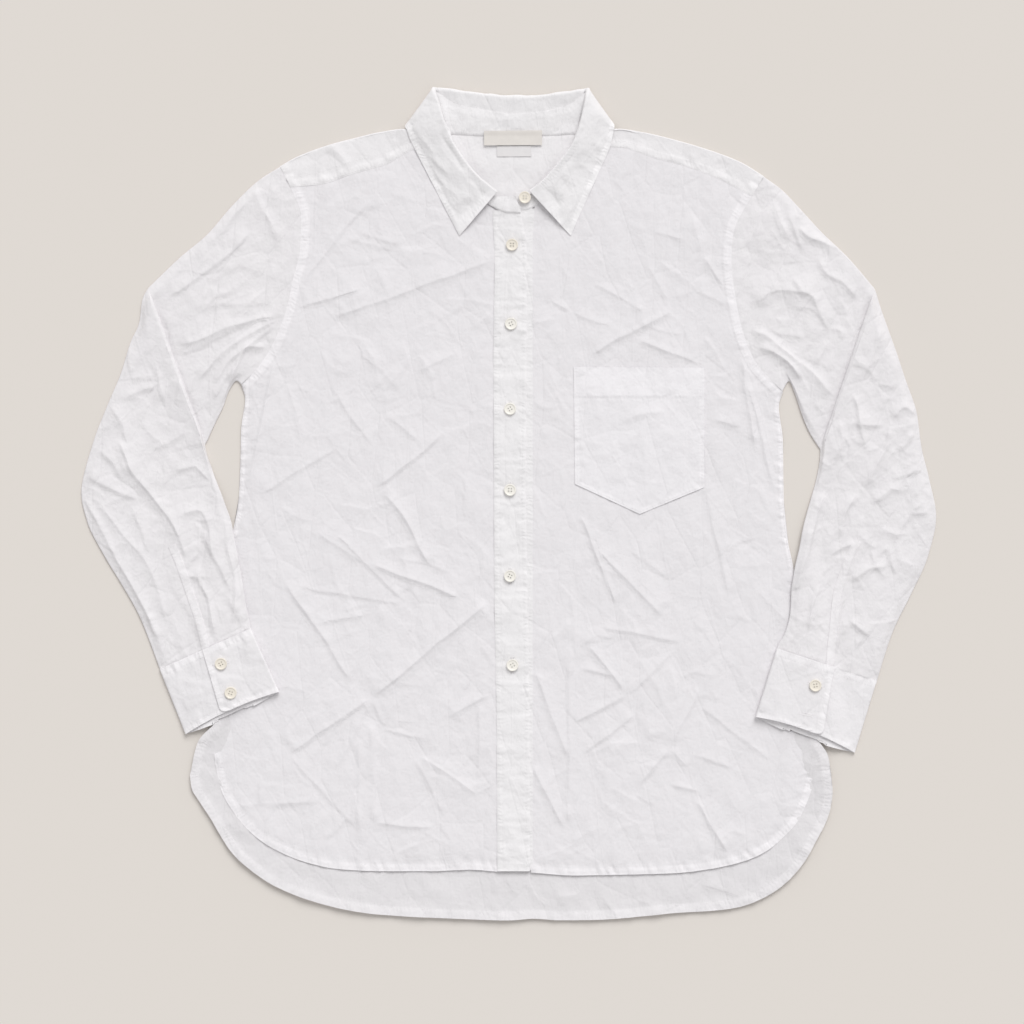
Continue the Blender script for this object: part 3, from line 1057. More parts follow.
class ShirtButtons(PropertyGroup):
    """The buttons' sizes, and the colours of the buttons and the labels."""

    radius: measure("Radius", "Outer radius of a button", 0.006, 0.003, 0.02)
    height: measure("Height", "Thickness of a button", 0.0026, 0.001, 0.01)
    pale: tint("Pale", "Colour of the pale buttons", (0.88, 0.85, 0.79))
    dark: tint("Cream", "Colour of the cream buttons", (0.81, 0.755, 0.665))
    label: tint("Label", "Colour of the blank main label", (0.806, 0.765, 0.724))
    small: tint("Size label", "Colour of the blank size label", (0.834, 0.81, 0.812))


class ShirtStage(PropertyGroup):
    """The floor and the light."""

    floor: tint("Floor", "Colour of the floor", (0.749, 0.705, 0.661))
    sun: factor("Window", "Strength of the soft light from beyond the collar", 1.85, 0, 10, "NONE")
    height: factor("Window height", "Angle of that light above the floor", 0.73, 0.1, 1.5, "ANGLE")
    turn: factor("Window turn", "Turn of that light from the collar's side", -0.3, -3.2, 3.2, "ANGLE")
    softness: factor("Softness", "Angle that the light fills", 0.6, 0, 3, "ANGLE")
    fill: factor("Fill", "Strength of the even light all round", 0.6, 0, 5, "NONE")


class Maker(Operator):
    """What the shirt's operators share"""

    bl_options = {"REGISTER", "UNDO"}

    def execute(self, context):
        self.make(context)
        return {"FINISHED"}


class SHIRT_OT_back(Maker):
    """Makes the back, which shows below the fronts' hems"""

    bl_idname = "shirt.back"
    bl_label = "Back"

    def make(self, context):
        wide, hidden, shown, hidden_share = 198, 24, 93, 0.66
        left, right = [
            joined(smooth(hole, np.linspace(ARMHOLE_SHARE_BACK, 1, 10)), evenly(side, 30), evenly(vent, 12))
            for hole, side, vent in ((ARMHOLE_RIGHT, SIDE_RIGHT, VENT_BACK_RIGHT),
                                     (ARMHOLE_LEFT, SIDE_LEFT, VENT_BACK_LEFT))
        ]
        shares = np.concatenate([np.linspace(0, hidden_share, hidden, endpoint=False),
                                 np.linspace(hidden_share, 1, shown + 1)])
        for line, inward in ((left, 3.0), (right, -3.0)):
            line[0, 1] += 0.3
            line[:, 0] += inward * bell(line[:, 1] - 400, 15)
        top = np.linspace(left[0], right[0], wide + 1)
        flat = patch(smooth(left, shares), smooth(right, shares), top, evenly(HEM_BACK, wide), shares)
        x, y = across_down(flat)
        height, layers, gap, place = back_height(x, y)
        marks = marked(creases(SCATTER["back"], x, y, sharp=True) * 1.5, puckers((gap, place, BACK_HEM_WIDTH)))
        wall = context.scene.shirt_cloth.wall / MM
        piece = laid_sheet("shirt_back", with_height(flat, height), wall, cloth_finish("back"), layers, marks)
        declare(["back"])
        line = beside(evenly(HEM_BACK, 200), STITCH_INSET - BACK_HEM_WIDTH)
        sew(line, lambda x, y: back_height(x, y)[0])


class SHIRT_OT_fronts(Maker):
    """Makes both fronts with their crumples, seams and hems"""

    bl_idname = "shirt.fronts"
    bl_label = "Fronts"

    def make(self, context):
        rows_hole, rows_side, columns_seam, columns_neck = 102, 330, 108, 69
        wall = context.scene.shirt_cloth.wall / MM
        for hand, away, hole, seam, neck, side, vent, centre, hem in (
            ("right", -1, ARMHOLE_RIGHT, YOKE_SEAM_RIGHT, NECK_FRONT_RIGHT, SIDE_RIGHT, VENT_FRONT_RIGHT,
             CENTRE_RIGHT, HEM_FRONT_RIGHT),
            ("left", 1, ARMHOLE_LEFT, YOKE_SEAM_LEFT, NECK_FRONT_LEFT, SIDE_LEFT, VENT_FRONT_LEFT, CENTRE_LEFT,
             HEM_FRONT_LEFT[::-1]),
        ):
            start = smooth(hole, [ARMHOLE_SHARE_FRONT])[0]
            top = joined(evenly([tuple(start)] + seam[1:], columns_seam), evenly(neck, columns_neck))
            in_seam = ease((columns_seam - np.arange(len(top))) / 12)
            tucked = beside(top, 1.5 * away)
            top = tucked * (1 - in_seam[:, None]) + (top - (0, 1.0)) * in_seam[:, None]
            outer = joined(smooth(hole, np.linspace(ARMHOLE_SHARE_FRONT, 1, rows_hole + 1)),
                           evenly(side + vent[1:], rows_side))
            outer[0] = top[0]
            outer[:, 0] += away * OVER_SEAM * ease((hole[-1][1] - outer[:, 1]) / 20)
            top[0] = outer[0]
            inner = evenly([tuple(top[-1])] + centre[1:], rows_hole + rows_side)
            flat = patch(outer, inner, top, evenly(hem, columns_seam + columns_neck))
            x, y = across_down(flat)
            height, layers = front_height(x, y, hand)
            sewn = (y > hole[-1][1]) * ease((vent[0][1] - y) / 12)
            to_edge = np.linalg.norm(flat - flat[:, :1], axis=2)
            grid = with_height(flat, height - (height - SEAM_HEIGHT) * sewn * (1 - ease(to_edge / 2.2)))
            marks = front_marks(x, y, hand)
            if hand == "left":
                grid, layers, marks = turned_about(grid, layers, marks)
            piece = laid_sheet(f"shirt_front_{hand}", grid, wall, cloth_finish("body"), layers, marks)
            declare([f"front_{hand}"])

            def heights(x, y, hand=hand):
                return front_height(x, y, hand)[0]

            edges = EDGES[hand]
            for gap in (1.3, SEAM_WIDTH - STITCH_INSET):
                sew(beside(edges["armhole"][6:], away * gap), heights)
                sew(beside(edges["side"][:34], away * min(gap, SIDE_WIDTH - STITCH_INSET)), heights)
            sew(beside(edges["hem"], STITCH_INSET - HEM_WIDTH), heights)


class SHIRT_OT_bands(Maker):
    """Makes the buttonhole band and the band under it"""

    bl_idname = "shirt.bands"
    bl_label = "Front bands"

    def make(self, context):
        for name, table, rows, columns in (
            ("button_stand", STAND_BAND, 330, 12), ("placket", PLACKET, 480, 30),
        ):
            down = np.linspace(table[0][0], table[-1][0], rows + 1)
            left, right = band_edges(table, down)
            u = np.linspace(0, 1, columns + 1)
            x, y = left[:, None] * (1 - u) + right[:, None] * u, np.repeat(down[:, None], columns + 1, 1)
            height = STAND_BAND_TOP + 0.3 * swell(0.3 * x, y, 3.6, 44)
            if name == "placket":
                height = placket_height(x, y)
            ticks = puckers((x - left[:, None], y, 5.4), (right[:, None] - x, y + 1.3, 4.6))
            grid = np.stack([x, y, height], axis=-1)
            piece = laid_sheet(f"shirt_{name}", grid, BAND_WALL, cloth_finish("band"), np.zeros(height.shape),
                               marked(None, ticks * (1, 1.2)))
            declare([name])
        down = np.linspace(PLACKET[0][0] + 2, PLACKET[-1][0] - 1, 330)
        left, right = band_edges(PLACKET, down)
        for line in (left + PLACKET_LINES[0], right - PLACKET_LINES[1]):
            sew(np.column_stack([line, down]), placket_height)
        foot = PLACKET[-1][0] - 7
        sew(np.linspace((498, foot), (529, foot), 20), placket_height)
        for spot in [button[1:3] for button in BUTTONS[1:7]]:
            sew_slit(spot, math.pi / 2, placket_height(*np.array(spot, float)[:, None])[0] + 0.05)


class SHIRT_OT_pocket(Maker):
    """Makes the patch pocket with its hem and pointed foot"""

    bl_idname = "shirt.pocket"
    bl_label = "Pocket"

    def make(self, context):
        across, down = 96, 108
        corners = [np.array(corner, float) for corner in POCKET]
        top_left, top_right, low_right, point, low_left = corners
        foot = joined(evenly([low_left, point], across // 2), evenly([point, low_right], across // 2))
        flat = patch(evenly([top_left, low_left], down), evenly([top_right, low_right], down),
                     evenly([top_left, top_right], across), foot)
        outline = np.array(corners[:1] + corners[:0:-1])

        def heights(x, y):
            gap, place = along_line(x, y, outline)
            hem = ease((POCKET_HEM_DOWN - y) / 1.2)
            ripple = swell(x, 0.3 * y, 6, 61) * bell(y - POCKET_HEM_DOWN, 5)
            own = 1.1 * crumple(x, y, 63) + 0.3 * hem + 0.5 * ripple
            own = own + creases([(7, 16, 0.9, 618, 424, 640, 414, 668, 412)], x, y)
            own = own * ease(gap / 5) + seam_relief(gap, place, 5.4, 0.12, 64, 0.5, 5.0)
            hem = 0.3 * bell(np.maximum(y - POCKET_HEM_DOWN, 0), 1.6) * (y > POCKET_HEM_DOWN)
            return front_height(x, y, "left")[0] + 0.5 + np.maximum(own + 0.45 - hem, 0.05)

        x, y = across_down(flat)
        gap, place = along_line(x, y, outline)
        ticks = puckers((gap, place, 5), (POCKET_HEM_DOWN + 4 - y, x, 7))
        marks = marked(creases(SCATTER["left"], x + 20, y - 150, sharp=True), ticks * (1, 0.8))
        layers = 0.5 * np.maximum(ease((POCKET_HEM_DOWN - y) / 1.2), ease((5.5 - gap) / 1.2))
        grid = with_height(flat, heights(x, y))
        piece = laid_sheet("shirt_pocket", grid, POCKET_WALL, cloth_finish("pocket"), layers, marks)
        declare(["pocket"])
        for start, end in zip(POCKET_STITCHES[:-1], POCKET_STITCHES[1:]):
            sew(np.linspace(start, end, 30), heights)
        sew(np.linspace((576, POCKET_HEM_DOWN + 1.0), (702, POCKET_HEM_DOWN + 1.0), 40), heights)
        for low, high in ((577.0, 582.5), (701.0, 695.5)):
            sew(np.linspace((low, POCKET_HEM_DOWN), (high, 369.0), 12), heights)


class SHIRT_OT_yoke(Maker):
    """Makes the yoke: its back layer, the folds over the shoulders and the strips that show in front"""

    bl_idname = "shirt.yoke"
    bl_label = "Yoke"

    def make(self, context):
        shoulder, neck, back_rows, strip_rows = 78, 60, 44, 20
        fold, turns = 1.7, 8
        top = joined(evenly(SHOULDER_RIGHT, shoulder), evenly(NECK_BACK, neck),
                     evenly(SHOULDER_LEFT[::-1], shoulder))
        shares = np.linspace(0, ARMHOLE_SHARE_BACK, back_rows + 1)
        left, right = smooth(ARMHOLE_RIGHT, shares), smooth(ARMHOLE_LEFT, shares)
        under = patch(left, right, top, np.linspace(left[-1], right[-1], len(top)))[::-1]
        x, y = across_down(under)
        lift = 1.35 * np.interp(x, (385, 400, 618, 632), (0, 1, 1, 0)) * np.interp(y, (162, 182), (1, 0))
        strips = {}
        for hand, seam, hole, edge, corner, columns in (
            ("right", YOKE_SEAM_RIGHT, ARMHOLE_RIGHT, SHOULDER_RIGHT, NECK_BACK[0], range(shoulder + 1)),
            ("left", YOKE_SEAM_LEFT, ARMHOLE_LEFT, SHOULDER_LEFT, NECK_BACK[-1],
             range(2 * shoulder + neck, shoulder + neck - 1, -1)),
        ):
            start = smooth(hole, [ARMHOLE_SHARE_FRONT])[0]
            line = evenly([tuple(start)] + seam[1:], shoulder)
            end = smooth(hole, np.linspace(0, ARMHOLE_SHARE_FRONT, strip_rows + 1))
            end[:, 0] += math.copysign(OVER_SEAM, end[0, 0] - BOARD[0]) * np.linspace(0, 1, strip_rows + 1)
            line[0] = end[-1]
            flat = patch(end, evenly([corner, seam[-1]], strip_rows), evenly(edge, shoulder), line)
            joint = front_height(*across_down(line), hand)[0] + 0.3
            hole_gap, hole_place = along_line(*across_down(flat), EDGES[hand]["armhole"])
            strips.update({column: (flat[:, k], joint[k], hole_gap[:, k], hole_place[:, k])
                           for k, column in enumerate(columns)})
        angles = np.radians(np.linspace(-90, 90, turns + 1))
        columns, shades, ticks = [], [], []
        for column in range(under.shape[1]):
            layer = with_height(under[:, column], lift[:, column])
            strip, joint, hole_gap, hole_place = strips.get(column, (None,) * 4)
            if strip is None:
                rest = np.repeat(layer[-1:], turns + strip_rows, axis=0)
                shade, tick = np.zeros(len(rest)), np.zeros((len(rest), 2))
            else:
                crown, base = strip[0], layer[-1, 2]
                inward = (strip[-1] - crown) / np.linalg.norm(strip[-1] - crown)
                arc = np.array([(*(crown + inward * fold * (1 - math.cos(a))), base + fold * (1 + math.sin(a)))
                                for a in angles])
                layer[-1] = arc[0]
                x, y = across_down(strip[1:])
                down = np.linspace(0, 1, strip_rows)
                to_seam = (1 - down) * np.linalg.norm(strip[-1] - crown)
                tops = (base + 2 * fold) * (1 - down) + joint * down
                band = ease((8.6 - to_seam) / 1.4)
                end = ease((8.4 - hole_gap[1:]) / 1.4)
                ripple = 1.6 * swell(0.9 * x, 0.2 * y, PUCKER_PITCH, 81) * bell(to_seam - 5, 5)
                ripple = ripple + 1.6 * swell(hole_place[1:], 0 * y, PUCKER_PITCH, 82) * end
                relief = 0.45 * ripple + 0.9 * crumple(x, y, 83) + creases(CREASES_YOKE, x, y)
                tops = tops + ease((to_seam + 0.4) / 3.5) * (0.35 * band + 0.3 * end + relief)
                rest = np.vstack([arc[1:], with_height(strip[1:], tops)])
                shade = np.concatenate([np.zeros(turns), 0.55 * np.maximum(band, end) + 0.1 * ripple])
                sewn = puckers((to_seam, x, 7.5), (hole_gap[1:], hole_place[1:], 7.5))
                tick = np.vstack([np.zeros((turns, 2)), sewn])
            columns.append(np.vstack([layer, rest]))
            inside = 0.4 * ease((layer[:, 0] - 435) / 15) * ease((590 - layer[:, 0]) / 15)
            inside = inside * (0.6 + 0.4 * bell(layer[:, 0] - 514, 34))
            shades.append(np.concatenate([inside, shade]))
            ticks.append(np.vstack([np.zeros((len(layer), 2)), tick]))
        grid = np.stack(columns, axis=1)
        gone = np.zeros((grid.shape[0] - 1, grid.shape[1] - 1), bool)
        gone[back_rows:, shoulder:shoulder + neck] = True
        self.lift_inside(grid, back_rows)
        x, y = across_down(grid)
        folds = creases(SCATTER["right"] + SCATTER["left"], x, y + 300, sharp=True)
        piece = shell("shirt_yoke", grid, YOKE_WALL, cloth_finish("yoke"), np.stack(shades, axis=1), holes=gone,
                      marks=marked(folds, np.stack(ticks, axis=1)))
        declare(["yoke"])
        for columns in (slice(3, shoulder - 2), slice(shoulder + neck + 2, -3)):
            for row in (-2, -8):
                sew(grid[row, columns] + (0, 0, 0.05))

    def lift_inside(self, grid, back_rows):
        """The face that shows in the neck is the yoke's inner one; it keeps a soft swell."""
        x, y = across_down(grid[:back_rows])
        shown = ease((x - 440) / 20) * ease((590 - x) / 20) * ease((215 - y) / 20)
        grid[:back_rows, :, 2] += shown * (0.5 + 0.5 * crumple(x, y, 87))


class SHIRT_OT_sleeves(Maker):
    """Makes both flattened sleeves with the fold at the elbow, and their narrow bound slits"""

    bl_idname = "shirt.sleeves"
    bl_label = "Sleeves"

    def make(self, context):
        for hand, rings, hole, strip in (
            ("right", RINGS_RIGHT, ARMHOLE_RIGHT, SLEEVE_PLACKET_RIGHT),
            ("left", RINGS_LEFT, ARMHOLE_LEFT, SLEEVE_PLACKET_LEFT),
        ):
            grid, upper = self.tube(rings, hole, hand, context.scene.shirt_cloth.sleeve_crumple)
            folds = creases(CREASES_SLEEVE + SCATTER[f"sleeve_{hand}"], *across_down(upper), sharp=True)
            marks = np.zeros((*grid.shape[:2], 4))
            marks[:, :upper.shape[1], :2] = folds * (1, 0.75)
            if hand == "left":
                grid, marks = turned_about(grid, marks)
            piece = shell(f"shirt_sleeve_{hand}", grid, SLEEVE_WALL, cloth_finish("sleeve"), around=True,
                          marks=marks)
            narrow = self.slit(hand, strip, upper)
            declare([f"sleeve_{hand}"])

    def tube(self, rings, hole, hand, amount):
        """The sleeve's outer face as loops, with the grid of its upper layer."""
        table = np.array(rings, float)
        length = way_along((table[:, 0:2] + table[:, 2:4]) / 2)
        index = np.arange(len(table), dtype=float)
        marks = np.interp(np.linspace(0, length[-1], 262), length, index)
        lip = ELBOW_RING + np.linspace(-0.04, 0.04, len(ELBOW_FOLD))
        marks = np.concatenate([marks[marks < lip[0] - 0.1], lip, marks[marks > ELBOW_RING + 0.3]])
        rows = through(table, index, marks)
        (x0, y0, x1, y1), after = table[ELBOW_RING, :4], table[ELBOW_RING + 1]
        across = np.array((y1 - y0, x0 - x1)) / math.hypot(x1 - x0, y1 - y0)
        across *= math.copysign(1, across @ (after[:2] + after[2:4] - (x0 + x1, y0 + y1)))
        seam = evenly(hole, 60)
        bow = seam - np.linspace(seam[0], seam[-1], len(seam))
        outward = aside_of(seam)
        outward *= math.copysign(0.4, (table[1, 0] - table[0, 0]) * outward[30, 0])
        share = np.linspace(0, 1, len(seam))
        fine, coarse, turns = 90, 24, 3
        spread = np.linspace(0, 1, fine + 1)
        folded = ease(spread / 0.1) * ease((1 - spread) / 0.07)
        lines = np.array([np.linspace(row[:2], row[2:4], len(seam)) + row[4] * bow + outward * max(0, 1 - mark)
                          for mark, row in zip(marks, rows)])
        chord = rows[:, 2:4] - rows[:, 0:2]
        width = np.linalg.norm(chord, axis=1)[:, None]
        mark, last = marks[:, None], len(table) - 1
        tuck = ease((mark - last + 0.55) / 0.5)
        depth = np.interp(mark, (0, 4), SLEEVE_DEPTH) * (1 - tuck) + 1.9 * tuck
        inset = 0.5 * depth / width
        places = inset + (1 - 2 * inset) * spread
        low_places = places[:, -1:] + (places[:, :1] - places[:, -1:]) * np.linspace(0, 1, coarse + 1)
        top, bottom = [np.array([[np.interp(want, share, line[:, axis]) for axis in (0, 1)]
                                 for want, line in zip(wanted, lines)]).transpose(0, 2, 1)
                       for wanted in (places, low_places)]
        low, ground = climb(*across_down(top)) + tuck, climb(*across_down(bottom)) + tuck
        wave = self.relief(top, places, mark / last, hand, amount, width)
        wave = wave * (1 - 0.6 * ease((mark - last + 1) / 0.5)) * (1 - tuck)
        past = (mark - ELBOW_RING) * np.where(mark > ELBOW_RING, *ELBOW_SPACING)
        wave = wave * (1 - folded * bell(past, 5))
        dip, rise = -ELBOW_DIP * ease(1 + past / 24) ** 2, ELBOW_RISE * (1 - ease(past / 60))
        step = np.where(past < 0, dip, rise) * folded
        for (shift, height), at in zip(ELBOW_FOLD, lip):
            row = int(np.argmin(np.abs(marks - at)))
            top[row] += across * (shift * folded)[:, None]
            step[row] = height * folded
        to_edge = np.minimum(places, 1 - places) * width
        sag = (depth - 2.1) * (1 - ease(to_edge / 11)) * ease(mark / 0.7) * (1 - tuck)
        high = low + depth + wave + step - sag
        joint = front_height(*across_down(top[0]), hand)[0] - 0.15
        high = high * ease(mark / 0.6) + joint * (1 - ease(mark / 0.6))
        uppers = with_height(top, high)
        angles = np.radians(np.linspace(60, -60, 2 * turns - 1))[None, :, None]
        arcs = []
        for end, base, side, turning in (
            (-1, ground[:, 0], 1, angles), (0, ground[:, -1], -1, angles[:, ::-1]),
        ):
            half = ((high[:, end] - base) / 2)[:, None, None]
            reach = side * (chord / width)[:, None] * (inset * width)[:, None]
            flat = top[:, None, end] + reach * np.cos(turning)
            arcs.append(np.concatenate([flat, base[:, None, None] + half + half * np.sin(turning)], axis=2))
        return np.concatenate([uppers, arcs[0], with_height(bottom, ground), arcs[1]], axis=1), uppers

    def relief(self, top, places, along, hand, amount, width):
        """The crumple, creases and gathers of the sleeve's upper layer."""
        x, y = across_down(top)
        calm = 0.25 + 0.75 * ease(along / 0.04)
        edge = ease(np.minimum(places, 1 - places) * width / 7)
        soft = 0.84 if hand == "right" else 1.0
        wave = 0.5 * amount * crumple(x, y, 91 if hand == "right" else 131)
        wave = wave + 1.2 * creases(CREASES_SLEEVE, x, y) + 0.8 * creases(SCATTER[f"sleeve_{hand}"], x, y)
        wave = wave * soft
        gather = swell(places * width, 0 * places + along * 12, 7.5, 97)
        wave = wave + 0.9 * gather * ease((along - 0.82) / 0.12) + 0.4 * gather * (1 - ease(along / 0.06))
        wave = wave * calm * (0.4 + 0.6 * edge)
        return np.where(wave < -1, -1 + (wave + 1) / (1 - 0.7 * (wave + 1)), wave)

    def slit(self, hand, strip, upper):
        """The narrow bound strip beside the cuff's opening, laid on the sleeve's upper layer."""
        half = 4
        line = evenly(strip, 60)
        u = np.linspace(-half, half, 13)
        flat = line[:, None] + aside_of(line)[:, None] * u[None, :, None]
        spots, cloud = flat.reshape(-1, 2), upper.reshape(-1, 3)
        low, high = spots.min(axis=0) - 3, spots.max(axis=0) + 3
        cloud = cloud[np.all((cloud[:, :2] > low) & (cloud[:, :2] < high), axis=1)]
        gaps = ((spots[:, None] - cloud[None, :, :2]) ** 2).sum(axis=2)
        weight = 1 / (gaps + 0.6) ** 2
        near = (weight * cloud[:, 2]).sum(axis=1) / weight.sum(axis=1)
        height = near.reshape(flat.shape[:2]) + 1.0 - 0.3 * np.abs(u / half) ** 3
        height = height + 0.14 * swell(line.sum(axis=1), 0 * line[:, 0], 5, 99)[:, None]
        grid = with_height(flat, height)
        ticks = puckers((half - np.abs(u)[None] + 0 * line[:, :1], line.sum(axis=1)[:, None] * 0.9, 3.0))
        piece = laid_sheet(f"shirt_sleeve_placket_{hand}", grid[:, ::-1], 0.6, cloth_finish("sleeve"),
                           np.full(height.shape, 0.6), marked(None, ticks * (1, 0.7)))
        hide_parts(f"sleeve_placket_{hand}")
        for column in (1, 11):
            sew(grid[:, column])
        return piece


class SHIRT_OT_cuffs(Maker):
    """Makes both cuffs, wound round the wrist end with the button side lapped on top"""

    bl_idname = "shirt.cuffs"
    bl_label = "Cuffs"

    def make(self, context):
        laps = []
        for hand, sizes in (("right", CUFF_RIGHT), ("left", CUFF_LEFT)):
            grid, layers, marks, lines = self.wound(sizes, hand)
            laps.append(grid[:, 1 - LAP_COLUMNS:].reshape(-1, 3))
            if hand == "right":
                grid, layers, marks = turned_about(grid, layers, marks)
            piece = shell(f"shirt_cuff_{hand}", grid, CUFF_WALL, cloth_finish("cuff"), layers, marks=marks)
            declare([f"cuff_{hand}"])
            for line in lines:
                sew(line + (0, 0, 0.04))
        laps = np.vstack(laps)
        holes = [(x, y, 0.35 if "left" in name else -0.25, SLIT_LENGTH) for name, x, y, _, _ in BUTTONS[7:]]
        for x, y, heading, size in holes + [SPARE_HOLE]:
            top = laps[np.hypot(laps[:, 0] - x, laps[:, 1] - y) < 4.5, 2].max()
            sew_slit((x, y), heading, top + 0.05, size)

    def wound(self, sizes, hand):
        """The cuff's outer face, from the under lap round to the upper lap, rows from seam to hem."""
        seam_outer, seam_inner = np.array(sizes["seam"], float)
        hem_outer, hem_inner = np.array(sizes["hem"], float)
        down = (hem_outer + hem_inner - seam_outer - seam_inner) / 2
        deep = np.linalg.norm(down)
        rows, corner, side = 54, 9.0, 1.6
        bends = np.radians((30, 60, 90, 120, 150))
        under, over = sizes["heights"]
        grid = []
        for share in np.linspace(0, 1, rows + 1):
            outer = seam_outer * (1 - share) + hem_outer * share
            inner = seam_inner * (1 - share) + hem_inner * share
            width = np.linalg.norm(inner - outer)
            start = sizes["overlap"][0] * (1 - share) + sizes["overlap"][1] * share
            left = (1 - share) * deep
            if left < corner:
                start += (corner - math.sqrt(max(corner**2 - (corner - left) ** 2, 0))) / width
            inset = side / width
            course = [(w, under) for w in np.linspace(0.8, inset, 60)]
            course += [(inset - inset * math.sin(a), under / 2 * (1 + math.cos(a))) for a in bends]
            course += [(w, 1.8 * share**6 * math.sin(math.pi * w)) for w in np.linspace(inset, 1 - inset, 30)]
            course += [(1 - inset + inset * math.sin(a), over / 2 * (1 - math.cos(a))) for a in bends]
            course += [(w, over) for w in np.linspace(1 - inset, start, LAP_COLUMNS)]
            points = []
            for w, layer in course:
                spot = outer * (1 - w) + inner * w
                bow = -sizes["mouth"][0] if layer > 1.5 else sizes["mouth"][1]
                points.append((*(spot + down / deep * bow * 4 * w * (1 - w) * share**4), layer))
            grid.append(points)
        grid = np.array(grid)
        x, y = across_down(grid)
        upper = grid[..., 2] > 2.5
        grid[..., 2] += climb(x, y)
        share = np.linspace(0, 1, rows + 1)[:, None]
        from_seam, from_hem = share * deep, (1 - share) * deep
        seed = 141 if hand == "right" else 151
        chord = (hem_inner - hem_outer) / np.linalg.norm(hem_inner - hem_outer)
        across, along = x * chord[0] + y * chord[1], y * chord[0] - x * chord[1]
        from_lap = np.where(np.arange(x.shape[1]) < x.shape[1] - LAP_COLUMNS, FAR, across - across[:, -1:])
        lines = 1.1 * bell(from_seam - 5, 5) + bell(from_hem - 3.5, 4)
        ticks = swell(across, 0.15 * along, PUCKER_PITCH, seed) * lines
        ticks = ticks + swell(along, 0.15 * across, PUCKER_PITCH, seed + 1) * bell(from_lap - 3.5, 3.5)
        groove = bell(from_seam - 7.5, 0.9) + bell(from_hem - 5.5, 0.9)
        groove = groove + bell(from_lap - 5.5, 0.9)
        by_button = sum(bell(np.hypot(x - button[1], y - button[2]), 11) for button in BUTTONS[7:])
        relief = 2.2 * crumple(x, y, seed + 3) * (1 - 0.8 * np.minimum(by_button, 1))
        grid[..., 2] += upper * (np.where(relief < 0, 0.35 * relief, relief) + 0.2 + 0.7 * ticks - 0.2 * groove)
        bands = bell(from_seam, 8.4, 6) + bell(from_hem, 5.8, 6) + bell(from_lap, 5.8, 6)
        layers = np.minimum(bands, 1) * (0.9 + 0.2 * ticks)
        pinched = puckers((from_seam, across, 8), (from_hem, across, 5.6), (from_lap, along, 5.6))
        marks = marked(creases(SCATTER[f"sleeve_{hand}"], x, y - 250, sharp=True) * 0.8, pinched)
        top_lap, under_lap = slice(2 - LAP_COLUMNS, -3), slice(2, 58)
        found = []
        for gap in (1.5, 7.0, -5.5):
            row = round(gap / deep * rows) % rows
            found += [grid[row, top_lap], grid[row, under_lap]]
        found += [grid[2:-3, -2], grid[5:-6, -9]]
        return grid, layers, marks, found


